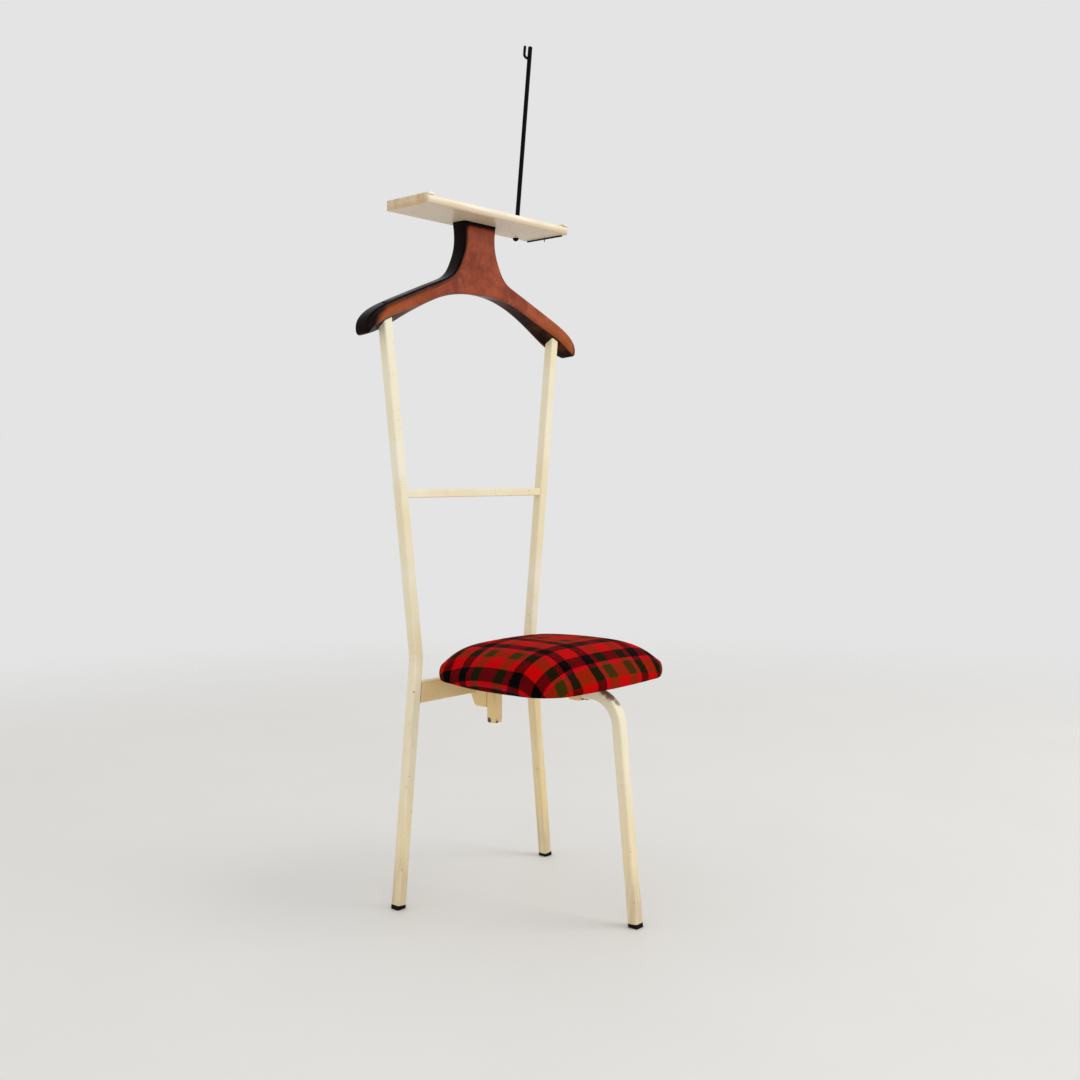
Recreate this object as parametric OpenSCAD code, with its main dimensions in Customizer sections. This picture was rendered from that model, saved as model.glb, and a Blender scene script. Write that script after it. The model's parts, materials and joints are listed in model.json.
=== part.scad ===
// Clothes valet chair: a welded tube frame on three legs, a padded seat on one central beam,
// a wooden hanger over the two uprights, a small tray on its neck and a hook rod that
// slides and turns in the tray.
// Millimetres. The origin is on the floor, under the middle of the object. Front is -Y.

/* [Frame tube] */
// Outside width of the square frame tube
tube_w = 18; // [16:0.5:22]
// Wall of the frame tube
tube_wall = 1.5; // [1:0.1:2]
// Outside corner radius of the frame tube
tube_corner = 3; // [2:0.5:4]

/* [Rear frame] */
// Distance between the rear feet on the floor, centre to centre
foot_span = 367; // [300:1:440]
// Distance between the two tubes at their bend, centre to centre
kink_span = 283; // [240:1:320]
// Height of the bend in the rear tubes
kink_z = 404; // [385:1:450]
// Bend radius of the rear tubes, on the centre line
kink_r = 80; // [60:5:120]
// Distance between the tube ends inside the hanger, centre to centre
post_span = 416; // [380:1:440]
// Distance of the tube ends inside the hanger below the tray's underside
post_drop = 176; // [150:1:200]
// Width of the square crossbar tube
bar_w = 14; // [12:0.5:18]
// Wall of the crossbar tube
bar_wall = 1.2; // [1:0.1:2]
// Height of the crossbar's centre
bar_z = 675; // [600:1:760]
// Height of the rear seat rail's section
rail_h = 35; // [28:1:45]

/* [Beam and front leg] */
// Height of the beam's top face
beam_top = 364; // [350:1:380]
// Distance of the beam's end behind the front foot
beam_setback = 101.9; // [80:0.1:130]
// Gap between the beam's end and the front leg's end
joint_gap = 0.4; // [0.2:0.1:1]
// Distance of the front foot in front of the rear frame
front_foot_reach = 343.5; // [300:0.5:380]
// Angle of the front leg from vertical
leg_rake = 5.6; // [0:0.1:10]
// Bend radius of the front leg, on the centre line
leg_bend_r = 49; // [40:1:70]
// Length of the square spigot that joins the beam and the leg
spigot_len = 61; // [40:1:70]
// How much of the spigot lies in the beam
spigot_back = 39.65; // [25:0.05:45]
// Sheet thickness of the bracket and the saddle
sheet = 2; // [1.5:0.1:3]
// Depth of the rear bracket under the beam
bracket_drop = 39; // [34:1:50]
// Where the bracket's lower edge leaves the rail, behind the rear frame's plane
bracket_toe = 3; // [1:0.5:6]
// Where that edge turns level, in front of the rear frame's plane
bracket_knee = 12.5; // [9:0.5:16]
// Radius of that turn
bracket_r = 8; // [5:0.5:12]
// Angle of that turn
bracket_knee_turn = 62; // [45:1:75]
// Length of the front saddle along the beam
saddle_len = 24; // [18:1:30]
// Depth of the saddle under the beam
saddle_drop = 3.5; // [2.5:0.5:6]
// Radius of the saddle's lower front corner
saddle_r = 5.5; // [3:0.5:8]
// Width of the square stub tube under the beam
stub_w = 20; // [18:0.5:22]
// Length of the stub below the beam, plug included
stub_len = 64.5; // [50:0.5:80]
// Distance of the stub's centre in front of the rear frame
stub_reach = 44.5; // [40:0.5:60]

/* [Feet] */
// Height of a foot cap under the tube end
cap_h = 6.5; // [6:0.5:12]
// How far a foot cap stands proud of the tube, each side
cap_lip = 0.4; // [0:0.1:1]
// Bevel around a foot cap's lower edge
cap_bevel = 1.6; // [0.8:0.1:2.4]
// How far the stub's plug lies inside the tube's outline, each side
plug_in = 0.5; // [0.2:0.1:1]
// Depth of a plug's stem inside its tube
stem_len = 16; // [10:1:24]

/* [Seat] */
// Thickness of the flat bearers between the beam and the board
bearer_h = 5.6; // [4:0.1:8]
// Distance of the rear bearer in front of the rear frame
bearer_rear = 95; // [70:1:110]
// Distance of the front bearer behind the beam's end
bearer_setback = 61.6; // [50:0.1:80]
// Width of a bearer
bearer_w = 25; // [18:1:35]
// Length of a bearer, side to side
bearer_len = 170; // [120:5:200]
// Thickness of the seat board
board_h = 8; // [6:0.5:12]
// Distance of the board's edge inside the cushion's side
board_in = 9; // [6:0.5:14]
// Gap between the board's edge and the cushion's pocket
board_gap = 0.3; // [0.1:0.1:0.5]
// Distance of the crown's peak behind the middle of the seat
seat_peak_back = 8; // [0:1:20]
// Half width of the cushion at the front, where the sides would meet
seat_front_half = 172; // [150:1:200]
// Half width of the cushion at the rear, where the sides would meet
seat_rear_half = 143; // [120:1:160]
// Distance of the cushion's front edge in front of the rear frame
seat_front_reach = 312.5; // [280:0.5:340]
// Distance of the cushion's rear edge in front of the rear frame
seat_rear_reach = 20.8; // [14:0.2:40]
// Corner radius of the cushion's outline
seat_corner = 65; // [40:1:80]
// Bow of the front and rear edges
seat_bow = 6; // [0:0.5:12]
// Bow of the two sides
seat_side_bow = 9; // [0:0.5:12]
// Height of the cushion's side, up to where the crown begins
seat_side_h = 27.6; // [20:0.2:40]
// Rise of the crown over the side
seat_crown = 34.9; // [20:0.1:50]
// How full the crown is: 2 is a dome, higher values are flatter on top
seat_fullness = 4.5; // [2:0.1:6]

/* [Hanger and tray] */
// Thickness of the hanger, front to rear
hanger_t = 31.5; // [26:0.5:36]
// Distance of the hanger's front face in front of the rear frame
hanger_reach = 16.5; // [14:0.5:22]
// Rounding of the hanger's long edges
hanger_edge = 5; // [3:0.5:8]
// Wood left between a tube's end and the seat of the screw over it
hanger_wood = 14; // [10:1:20]
// Length of the threaded plug in a tube's end
post_plug_len = 24; // [16:1:32]
// Length of the plug that the screw's tip leaves free
plug_left = 4; // [2:1:8]
// Length of the tray
tray_len = 350; // [320:1:380]
// Width of the tray, front to rear
tray_w = 102; // [90:1:120]
// Distance of the tray's rear edge behind the rear frame
tray_rear = 33.5; // [32:0.5:50]
// Thickness of the tray board
tray_h = 14; // [10:0.5:18]
// Height of the tray's underside
tray_z = 1140; // [1120:1:1200]
// Corner radius of the tray, seen from above
tray_corner = 6; // [4:0.5:12]
// Rise of the lips at the tray's ends
lip_h = 4; // [2.5:0.5:8]
// Width of the lips at the tray's ends
lip_w = 14; // [10:0.5:18]
// Rounding of the tray board's long edges
tray_soft = 4; // [2:0.5:6]
// Rounding of the lips' upper edges
lip_soft = 3; // [1.5:0.5:4]
// Length of the screws that hold the tray on the hanger's neck
tray_screw_len = 44; // [36:1:56]
// Distance of those screws from the middle
tray_screw_half = 18; // [12:1:24]
// Distance of the wire bar from the tray's right end
wire_in = 5; // [3:0.5:10]
// Distance of the wire bar's rear end from the tray's rear edge
wire_rear_in = 7; // [4:0.5:15]
// How far the peg hangs under the tray
peg_drop = 6.5; // [5:0.5:10]
// Thickness of the wire bar under the tray's right end
wire_d = 2.6; // [2:0.1:4]
// Length of the wire bar
wire_len = 83; // [60:1:90]

/* [Hook rod] */
// Diameter of the hook rod
rod_d = 8; // [6:0.2:9]
// Length of the hook rod
rod_len = 370; // [320:1:400]
// Sideways lean of the hook rod
rod_lean = 6.7; // [0:0.1:8]
// Distance of the rod's lower end to the right of the middle
rod_x = 135; // [120:0.5:145]
// Distance of the rod's axis behind the rear frame
rod_back = 25; // [22:0.5:27]
// How far the rod's lower end hangs under the tray
rod_below = 5; // [4:0.5:8]
// Diameter of the prong's wire
prong_d = 5; // [3:0.1:5.5]
// Distance between the axes of the rod and the prong
prong_gap = 14.5; // [12:0.5:22]
// Height of the prong's tip over the rod's end, below it if negative
prong_over = -4; // [-6:0.5:5]
// Bend radius of the prong, on the centre line
prong_bend_r = 5; // [4.5:0.5:6]
// Depth of the hook, from the rod's end down to the weld
hook_depth = 24.5; // [20:0.5:32]
// Outside diameter of the bush that the rod slides in
bush_d = 11; // [10:0.5:13]
// Width of the bush's flange
bush_flange_w = 2.5; // [1.5:0.5:4]
// Thickness of the bush's flange
bush_flange_h = 2; // [1.5:0.5:3]
// Height of the stop ring at the rod's lower end
stop_h = 3; // [2:0.5:5]
// Width of the stop ring
stop_w = 1.1; // [0.8:0.1:2]

/* [Fit] */
// Gap around a stem, spigot or screw that is fixed in its hole
fit_gap = 0.1; // [0.05:0.05:0.2]
// Radial gap around the rod and the bush, which turn and slide
run_gap = 0.05; // [0.03:0.01:0.09]
// Shank diameter of the wood screws
screw_d = 3.8; // [3:0.1:5]
// Head diameter of the wood screws
head_d = 7.6; // [6:0.1:9]
// Head height of the screws
head_h = 2.6; // [2:0.1:3.5]
// Shank diameter of the screw under the front leg
leg_screw_d = 4; // [3:0.1:5]
// Head diameter of that screw
leg_head_d = 6.8; // [6:0.1:8]
// Distance of that screw in front of the joint of beam and leg
leg_screw_in = 5.5; // [5:0.5:10]

/* [Hidden] */
arc_n = 3;
bore_w = tube_w - 2 * tube_wall;
bore_corner = tube_corner - tube_wall;
cap_w = tube_w + 2 * cap_lip;
beam_mid = beam_top - tube_w / 2;
beam_low = beam_top - tube_w;
rail_low = beam_top - rail_h;
rail_mid = beam_top - rail_h / 2;
post_z = tray_z - post_drop;
leg_lean = atan((foot_span - kink_span) / 2 / kink_z);
post_lean = atan((post_span - kink_span) / 2 / (post_z - kink_z));
kink_angle = leg_lean + post_lean;
kink_cut = kink_r * tan(kink_angle / 2);
leg_run = norm([(foot_span - kink_span) / 2, kink_z]) - kink_cut;
post_run = norm([(post_span - kink_span) / 2, post_z - kink_z]) - kink_cut;
bar_half = kink_span / 2 + (bar_z - kink_z) * tan(post_lean) - tube_w / 2 / cos(post_lean);
rail_half = foot_span / 2 - rail_mid * tan(leg_lean) - tube_w / 2 / cos(leg_lean);
beam_reach = front_foot_reach - beam_setback;
front_turn = 90 - leg_rake;
front_cut = leg_bend_r * tan(front_turn / 2);
front_corner = front_foot_reach - beam_mid * tan(leg_rake);
front_run = beam_mid / cos(leg_rake) - front_cut;
front_flat = front_corner - front_cut - beam_reach - joint_gap;
front_end = front_foot_reach + cap_w / 2 / cos(leg_rake);
frame_y = (front_end - tray_rear) / 2;
tray_top = tray_z + tray_h;
tray_half = tray_len / 2;
board_z = beam_top + bearer_h;
seat_z = board_z + 1;
screw_r = screw_d / 2;
head_r = head_d / 2;
bush_r = bush_d / 2;
bush_flange_r = bush_r + bush_flange_w;
bush_low = rod_below + 0.6;
bush_seat = rod_below + tray_h - bush_flange_h + 0.4;
stop_r = rod_d / 2 + stop_w;
stop_low = bush_low - 0.3 - stop_h;
leg_screw_y = -(beam_reach + joint_gap + leg_screw_in);
leg_screw_r = leg_screw_d / 2;
leg_head_r = leg_head_d / 2;
saddle_low = 2;
bearer_front = beam_reach - bearer_setback;
// The hanger's outline is drawn for tube ends at drawn_post_x.
shoulder_x = 45;
drawn_post_x = 208;
arm_stretch = (post_span / 2 - shoulder_x) / (drawn_post_x - shoulder_x);

cream = [0.89, 0.85, 0.74];
stained = [0.76, 0.64, 0.45];
black = [0.06, 0.06, 0.06];
steel = [0.42, 0.40, 0.37];
mahogany = [0.46, 0.17, 0.11];
plywood = [0.70, 0.55, 0.36];
tartan_red = [0.74, 0.05, 0.06];

// ---------- shared shapes ----------

// The corners of a square with rounded corners, as points round the outline.
function rounded_rect(w, d, r) = [
    for (q = [0:3], i = [0:arc_n])
        let (a = 90 * (q + i / arc_n))
        let (sx = (q == 0 || q == 3) ? 1 : -1)
        let (sy = (q < 2) ? 1 : -1)
        [sx * (w / 2 - r) + r * cos(a), sy * (d / 2 - r) + r * sin(a)]
];

// Counting numbers from a up to b.
function count(a, b) = [for (i = [a:b]) i];

// A tube's section: the outline with its bore.
module tube_section(w, d, wall, r) {
    outer = rounded_rect(w, d, r);
    inner = rounded_rect(w - 2 * wall, d - 2 * wall, r - wall);
    n = len(outer);
    polygon(concat(outer, inner), [count(0, n - 1), count(n, 2 * n - 1)]);
}

module frame_section() {
    tube_section(tube_w, tube_w, tube_wall, tube_corner);
}

// The half space below z = 0, as far as size reaches.
module below(size) {
    translate([0, 0, -size]) cube(2 * size, center = true);
}

// A bend of radius r that starts upwards at x = r and turns towards -X by angle.
module bend(r, angle, width) {
    reach = r + width;
    difference() {
        rotate([90, 0, 0]) rotate_extrude($fn = 96) translate([r, 0]) children();
        below(reach * 2);
        rotate([0, -angle, 0]) mirror([0, 0, 1]) below(reach * 2);
    }
}

// A frame tube that runs up Z, bends towards -X and runs on.
module bent_tube(first, r, angle, second) {
    linear_extrude(first) frame_section();
    translate([-r, 0, first]) {
        bend(r, angle, tube_w) frame_section();
        rotate([0, -angle, 0]) translate([r, 0, 0]) linear_extrude(second) frame_section();
    }
}

module square_bar(w, d, r, length) {
    linear_extrude(length) polygon(rounded_rect(w, d, r));
}

// Everything measured from the rear frame, whose tubes lie in the plane y = 0.
module at_frame() {
    translate([0, frame_y, 0]) children();
}

// A rear foot: the floor under it is the origin, the tube runs up Z and leans to -X.
module at_rear_foot(side) {
    at_frame() mirror([side < 0 ? 1 : 0, 0, 0]) translate([foot_span / 2, 0, 0]) children();
}

module at_front_foot() {
    at_frame() translate([0, -front_foot_reach, 0]) rotate([0, 0, -90]) children();
}

// The end of an upright inside the hanger, with Z along the tube.
module at_post_end(side) {
    at_frame() mirror([side < 0 ? 1 : 0, 0, 0])
        translate([post_span / 2, 0, post_z]) rotate([0, post_lean, 0]) children();
}

// Along the beam: Z points to the front, Y points up, and the origin is in the rear frame.
module along_beam() {
    at_frame() translate([0, 0, beam_mid]) rotate([90, 0, 0]) children();
}

// The rod's lower end, with Z along the rod.
module at_rod() {
    at_frame() translate([rod_x, rod_back, tray_z - rod_below]) rotate([0, rod_lean, 0]) children();
}

// ---------- rear frame ----------

module upright(side) {
    at_rear_foot(side) rotate([0, -leg_lean, 0]) translate([0, 0, cap_h])
        mirror([1, 0, 0]) bent_tube(leg_run - cap_h, kink_r, kink_angle, post_run);
}

module left_upright() {
    color(cream) upright(-1);
}

module right_upright() {
    color(cream) upright(1);
}

// A straight tube between the uprights, cut at both ends to lie on their inner sides.
module cross_tube(w, h, wall, r, z, half, lean) {
    at_frame() translate([0, 0, z]) difference() {
        translate([-half - h, 0, 0]) rotate([90, 0, 90])
            linear_extrude(2 * (half + h)) tube_section(w, h, wall, r);
        for (side = [-1, 1])
            translate([side * half, 0, 0]) rotate([0, side * lean, 0])
                translate([side * h * 2, 0, 0]) cube([h * 4, w * 4, h * 6], center = true);
    }
}

module crossbar() {
    color(cream) cross_tube(bar_w, bar_w, bar_wall, bar_wall + 1, bar_z, bar_half, post_lean);
}

module rear_seat_rail() {
    color(cream) cross_tube(tube_w, rail_h, tube_wall, tube_corner, rail_mid, rail_half, -leg_lean);
}

// ---------- beam, brackets and front leg ----------

module seat_screw_places() {
    for (reach = [bearer_rear, bearer_front])
        at_frame() translate([0, -reach, 0]) children();
}

module centre_beam() {
    color(cream) difference() {
        along_beam() translate([0, 0, tube_w / 2])
            linear_extrude(beam_reach - tube_w / 2) frame_section();
        seat_screw_places() translate([0, 0, beam_low - 1])
            cylinder(r = screw_r + fit_gap, h = tube_w + 2, $fn = 32);
    }
}

module rail_bracket() {
    color(stained) at_frame() translate([0, 0, rail_low]) difference() {
        bracket_block(stub_w, 0);
        bracket_block(stub_w - 2 * sheet, sheet);
    }
}

// The bracket as a block of width w under the rail and the beam, with its lower edge moved in by step.
module bracket_block(w, step) {
    roof = rail_h - tube_w;
    floor = roof - bracket_drop + step;
    back = 0.62 * step;
    translate([-w / 2, 0, 0]) rotate([90, 0, 90]) linear_extrude(w) polygon(concat(
        [[stub_w / 2 - stub_reach - step, roof + step], [stub_w / 2 - stub_reach - step, floor]],
        [for (i = [0:4])
            let (a = 270 + bracket_knee_turn * i / 4)
            [-bracket_knee + bracket_r * cos(a) - back, floor + bracket_r * (1 + sin(a))]],
        [[bracket_toe - back, step], [-tube_w / 2, step], [-tube_w / 2, roof + step]]
    ));
}

module stub_tube() {
    color(stained) at_frame() translate([0, -stub_reach, beam_low - stub_len + cap_h])
        linear_extrude(stub_len - cap_h) tube_section(stub_w, stub_w, tube_wall, tube_corner);
}

// A plug: a head outside the tube's end and a stem inside it.
module stub_plug() {
    head_w = stub_w - 2 * plug_in;
    stem_w = stub_w - 2 * tube_wall - 2 * fit_gap;
    color(stained) at_frame() translate([0, -stub_reach, beam_low - stub_len]) {
        square_bar(head_w, head_w, tube_corner, cap_h);
        square_bar(stem_w, stem_w, bore_corner, cap_h + stem_len);
    }
}

module leg_saddle() {
    inner = tube_w + 2 * fit_gap;
    outer = inner + 2 * sheet;
    lift = tube_w - saddle_low;
    color(stained) at_frame() translate([0, -beam_reach, beam_low]) difference() {
        translate([-outer / 2, 0, 0]) rotate([90, 0, 90]) linear_extrude(outer) polygon(concat(
            [[0, lift], [0, -saddle_drop]],
            [for (i = [0:4])
                let (a = 22.5 * i)
                [saddle_len - saddle_r * (1 - sin(a)), saddle_r * (1 - cos(a)) - saddle_drop]],
            [[saddle_len, lift]]
        ));
        translate([-inner / 2, -1, 0]) cube([inner, saddle_len + 2, tube_w]);
    }
}

module leg_spigot() {
    w = bore_w - 2 * fit_gap;
    mid = beam_reach + joint_gap / 2;
    color(steel) difference() {
        along_beam() translate([0, 0, mid - spigot_back])
            linear_extrude(spigot_len) tube_section(w, w, sheet, bore_corner + sheet / 2);
        leg_screw_bore(leg_screw_r);
    }
}

module leg_screw_bore(r) {
    at_frame() translate([0, leg_screw_y, beam_low - 1]) cylinder(r = r, h = tube_wall + sheet + 3, $fn = 32);
}

module front_leg() {
    color(cream) difference() {
        at_front_foot() rotate([0, -leg_rake, 0]) translate([0, 0, cap_h])
            bent_tube(front_run - cap_h, leg_bend_r, front_turn, front_flat);
        leg_screw_bore(leg_screw_r + fit_gap);
    }
}

module leg_screw() {
    color(steel) at_frame() translate([0, leg_screw_y, beam_low - head_h]) {
        cylinder(r = leg_head_r, h = head_h, $fn = 32);
        cylinder(r = leg_screw_r, h = head_h + tube_wall + sheet + fit_gap + 1, $fn = 32);
    }
}

// ---------- feet ----------

// A cap on a tube that leans by lean to -X: flat on the floor, with a stem in the tube.
module foot_cap(lean) {
    stem_w = bore_w - 2 * fit_gap;
    color(black) difference() {
        rotate([0, -lean, 0]) {
            translate([0, 0, -cap_w]) square_bar(cap_w, cap_w, tube_corner + 0.5, cap_w + cap_h);
            square_bar(stem_w, stem_w, bore_corner, cap_h + stem_len);
        }
        below(cap_w * 2);
        for (turn = [0:90:270])
            rotate([0, 0, turn]) translate([cap_w / 2, 0, 0])
                rotate([0, 45, 0]) cube([cap_bevel, cap_w * 2, cap_bevel], center = true);
    }
}

module left_rear_foot() {
    at_rear_foot(-1) foot_cap(leg_lean);
}

module right_rear_foot() {
    at_rear_foot(1) foot_cap(leg_lean);
}

module front_foot() {
    at_front_foot() foot_cap(leg_rake);
}

// ---------- hanger ----------

// A point on a cubic curve with four control points.
function bezier(p, t) =
    pow(1 - t, 3) * p[0] + 3 * t * pow(1 - t, 2) * p[1] + 3 * t * t * (1 - t) * p[2] + pow(t, 3) * p[3];

// Outside shoulder_x the hanger widens with the distance between the tube ends.
function widened(p) = [p[0] > shoulder_x ? shoulder_x + (p[0] - shoulder_x) * arm_stretch : p[0], p[1]];

function widened_all(curve) = [for (p = curve) widened(p)];

// The first n of the n + 1 points that divide a curve.
function run_of(p, n) = [for (i = [0:n - 1]) bezier(p, i / n)];

// Right half of the hanger's outline, as control points in X and height below the tray.
neck_half = 40.5;
neck_curve = [[neck_half, 0], [35.5, -22], [36, -42], [45, -62]];
shoulder_curve = widened_all([[45, -62], [54, -82], [60, -94], [82, -103]]);
arm_curve = widened_all([[82, -103], [104, -112], [188, -146], [212, -157]]);
tip_curve = widened_all([[212, -157], [236, -168], [258.5, -182], [258.5, -200]]);
tip_low = widened([258.5, -200]);
tip_drop = widened([258.5, -207]);
// The underside runs from the tip back to the middle. Its front and rear edges differ.
under_front = [widened_all([[249, -207], [236, -191], [212, -177.5], [180, -167]]),
    widened_all([[180, -167], [92, -139.5], [96, -125], [0, -125]])];
under_rear = [widened_all([[248, -213], [229, -210], [212, -204], [190, -192]]),
    widened_all([[190, -192], [146, -166], [86, -119.5], [0, -119.5]])];

neck_n = 6;
shoulder_n = 5;
arm_n = 4;
tip_n = 5;
turn_n = 4;
top_n = shoulder_n + arm_n + tip_n + turn_n / 2;
under_n = top_n - turn_n / 2 - 5;

// The underside's curve k at depth share t, 0 at the front face and 1 at the rear.
function under_curve(k, t) = [for (i = [0:3]) under_front[k][i] * (1 - t) + under_rear[k][i] * t];

function turn_curve(t) =
    let (under = under_curve(0, t))
    [tip_low, tip_drop, under[0] * 2 - under[1] * 0.5 - under[0] * 0.5, under[0]];

function half_outline(t) = concat(
    run_of(neck_curve, neck_n),
    run_of(shoulder_curve, shoulder_n),
    run_of(arm_curve, arm_n),
    run_of(tip_curve, tip_n),
    run_of(turn_curve(t), turn_n),
    run_of(under_curve(0, t), 5),
    run_of(under_curve(1, t), under_n),
    [under_curve(1, t)[3]]
);

half_n = neck_n + top_n + turn_n / 2 + 5 + under_n + 1;
loop_n = 2 * half_n - 1;

// The whole outline, clockwise from the right end of the neck's top.
function outline(t) =
    let (right = half_outline(t))
    concat(right, [for (i = [half_n - 2:-1:0]) [-right[i][0], right[i][1]]]);

// Point i of the outline, moved in by step. The neck's two top corners keep their height.
function moved_in(line, i, step) =
    let (before = line[(i + loop_n - 1) % loop_n], after = line[(i + 1) % loop_n])
    let (way = after - before)
    let (normal = (i == 0) ? [-1, 0] : (i == loop_n - 1) ? [1, 0] : [way[1], -way[0]] / norm(way))
    line[i] + normal * step;

// Steps in the rounding of the hanger's long edges.
round_n = 3;

// The hanger as rings from the front face to the rear face, with rounded edges.
module hanger_blank() {
    rings = 2 * round_n + 2;
    points = [for (k = [0:rings - 1]) each ring_points(k)];
    last = (rings - 1) * loop_n;
    sides = [for (k = [0:rings - 2], i = [0:loop_n - 1])
        let (a = k * loop_n + i, b = k * loop_n + (i + 1) % loop_n)
        each [[a, b, b + loop_n], [a, b + loop_n, a + loop_n]]];
    front = cap_faces();
    rear = [for (f = front) [f[0] + last, f[2] + last, f[1] + last]];
    polyhedron(points, concat(sides, front, rear), convexity = 6);
}

// Ring k: the rounding turns a quarter circle at the front and again at the rear.
function ring_points(k) =
    let (at_front = k <= round_n)
    let (a = 90 * (at_front ? k : 2 * round_n + 1 - k) / round_n)
    let (step = hanger_edge * (1 - sin(a)))
    let (deep = hanger_edge * (1 - cos(a)))
    let (y = at_front ? deep : hanger_t - deep)
    let (line = outline(y / hanger_t))
    [for (i = [0:loop_n - 1]) let (p = moved_in(line, i, step)) [p[0], y, p[1]]];

// Triangles of the front face: the neck in rows across, each arm in strips from top to underside.
function cap_faces() =
    let (last = loop_n - 1, mid = half_n - 1, n = top_n)
    concat(
        [for (i = [0:neck_n - 1]) each [[i, last - i, last - i - 1], [i, last - i - 1, i + 1]]],
        [[neck_n, last - neck_n, mid]],
        [for (i = [0:n - 1])
            let (t = neck_n + i, u = mid - i)
            each (i == n - 1 ? [[t, u, t + 1]] : [[t, u, t + 1], [t + 1, u, u - 1]])],
        [for (i = [0:n - 1])
            let (t = last - neck_n - i, u = mid + i)
            each (i == n - 1 ? [[t, t - 1, u]] : [[t, t - 1, u], [t - 1, u + 1, u]])]
    );

module hanger() {
    socket = tube_w + 2 * fit_gap;
    color(mahogany) difference() {
        at_frame() translate([0, -hanger_reach, tray_z]) hanger_blank();
        for (side = [-1, 1]) {
            at_post_end(side) {
                translate([0, 0, -60]) square_bar(socket, socket, tube_corner, 60);
                cylinder(r = screw_r, h = 60, $fn = 32);
                translate([0, 0, hanger_wood]) cylinder(r = head_r + fit_gap * 2, h = 60, $fn = 32);
            }
        }
        tray_screw_places() translate([0, 0, tray_z - tray_screw_len + tray_h])
            cylinder(r = screw_r, h = tray_screw_len, $fn = 32);
    }
}

module tray_screw_places() {
    for (side = [-1, 1])
        at_frame() translate([side * tray_screw_half, hanger_t / 2 - hanger_reach, 0]) children();
}

module post_plugs() {
    w = bore_w - 2 * fit_gap;
    color(steel) for (side = [-1, 1])
        at_post_end(side) difference() {
            translate([0, 0, -post_plug_len]) square_bar(w, w, bore_corner, post_plug_len);
            translate([0, 0, -post_plug_len - 1]) cylinder(r = screw_r, h = post_plug_len + 2, $fn = 32);
        }
}

module hanger_screws() {
    color(steel) for (side = [-1, 1])
        at_post_end(side) {
            translate([0, 0, hanger_wood]) screw_head();
            translate([0, 0, plug_left - post_plug_len])
                cylinder(r = screw_r, h = post_plug_len - plug_left + hanger_wood + head_h / 2, $fn = 32);
        }
}

// A domed screw head on the plane z = 0.
module screw_head() {
    rotate_extrude($fn = 48) polygon(concat(
        [[0, 0]],
        [for (i = [0:4]) [head_r * cos(18 * i), head_h * sin(18 * i)]],
        [[0, head_h]]
    ));
}

// ---------- tray ----------

// The tray's outline as a block from z = 0 up to h.
module tray_block(h) {
    at_frame() translate([0, tray_rear - tray_w / 2, 0])
        linear_extrude(h) polygon(rounded_rect(tray_len, tray_w, tray_corner));
}

module tray_board() {
    color(cream) difference() {
        intersection() {
            translate([0, 0, tray_z]) tray_block(tray_h);
            at_frame() translate([-tray_half - 1, tray_rear - tray_w / 2, tray_z + tray_h / 2])
                rotate([90, 0, 90]) linear_extrude(tray_len + 2)
                    polygon(rounded_rect(tray_w, tray_h, tray_soft));
        }
        at_rod() {
            translate([0, 0, -tray_h]) cylinder(r = bush_r + run_gap, h = tray_h * 4, $fn = 64);
            translate([0, 0, bush_seat]) cylinder(r = bush_flange_r + 4 * run_gap, h = tray_h, $fn = 64);
        }
        tray_screw_places() {
            translate([0, 0, tray_z - 1]) cylinder(r = screw_r + fit_gap, h = tray_h + 2, $fn = 32);
            translate([0, 0, tray_top - head_h]) cylinder(r = head_r + fit_gap, h = tray_h, $fn = 32);
        }
    }
}

// A lip along one short end of the tray, rounded over on top.
module tray_lip(side) {
    color(cream) intersection() {
        translate([0, 0, tray_top]) tray_block(lip_h);
        at_frame() mirror([side < 0 ? 1 : 0, 0, 0])
            translate([tray_half - lip_w / 2, tray_rear + 1, tray_top + lip_h / 2 - lip_soft])
                rotate([90, 0, 0]) linear_extrude(tray_w + 2)
                    polygon(rounded_rect(lip_w, lip_h + 2 * lip_soft, lip_soft));
    }
}

module tray_left_lip() {
    tray_lip(-1);
}

module tray_right_lip() {
    tray_lip(1);
}

module tray_screws() {
    color(steel) tray_screw_places() {
        translate([0, 0, tray_top - head_h]) cylinder(r = head_r, h = head_h, $fn = 32);
        translate([0, 0, tray_top - tray_screw_len]) cylinder(r = screw_r, h = tray_screw_len - 1, $fn = 32);
    }
}

// The wire bar lies along the right end, against the underside, and the peg hangs from its middle.
module at_wire() {
    at_frame() translate([tray_half - wire_in, tray_rear - wire_rear_in, tray_z - wire_d / 2]) children();
}

module wire_bar() {
    color(black) at_wire() difference() {
        rotate([90, 0, 0]) cylinder(d = wire_d, h = wire_len, $fn = 32);
        translate([0, -wire_len / 2, -wire_d]) cylinder(d = wire_d * 0.6, h = wire_d * 2, $fn = 24);
    }
}

module wire_peg() {
    color(steel) at_wire() translate([0, -wire_len / 2, wire_d / 2 - peg_drop])
        cylinder(d = wire_d * 0.6, h = peg_drop, $fn = 24);
}

// ---------- seat ----------

module seat_bearers() {
    color(steel) difference() {
        seat_screw_places() translate([-bearer_len / 2, -bearer_w / 2, beam_top])
            cube([bearer_len, bearer_w, bearer_h]);
        seat_screw_places() translate([0, 0, beam_top - 1])
            cylinder(r = screw_r + fit_gap, h = bearer_h + 2, $fn = 32);
    }
}

module seat_screws() {
    color(steel) seat_screw_places() {
        translate([0, 0, beam_low - head_h]) cylinder(r = head_r, h = head_h, $fn = 32);
        translate([0, 0, beam_low - 1]) cylinder(r = screw_r, h = tube_w + bearer_h + board_h - 1, $fn = 32);
    }
}

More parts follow.
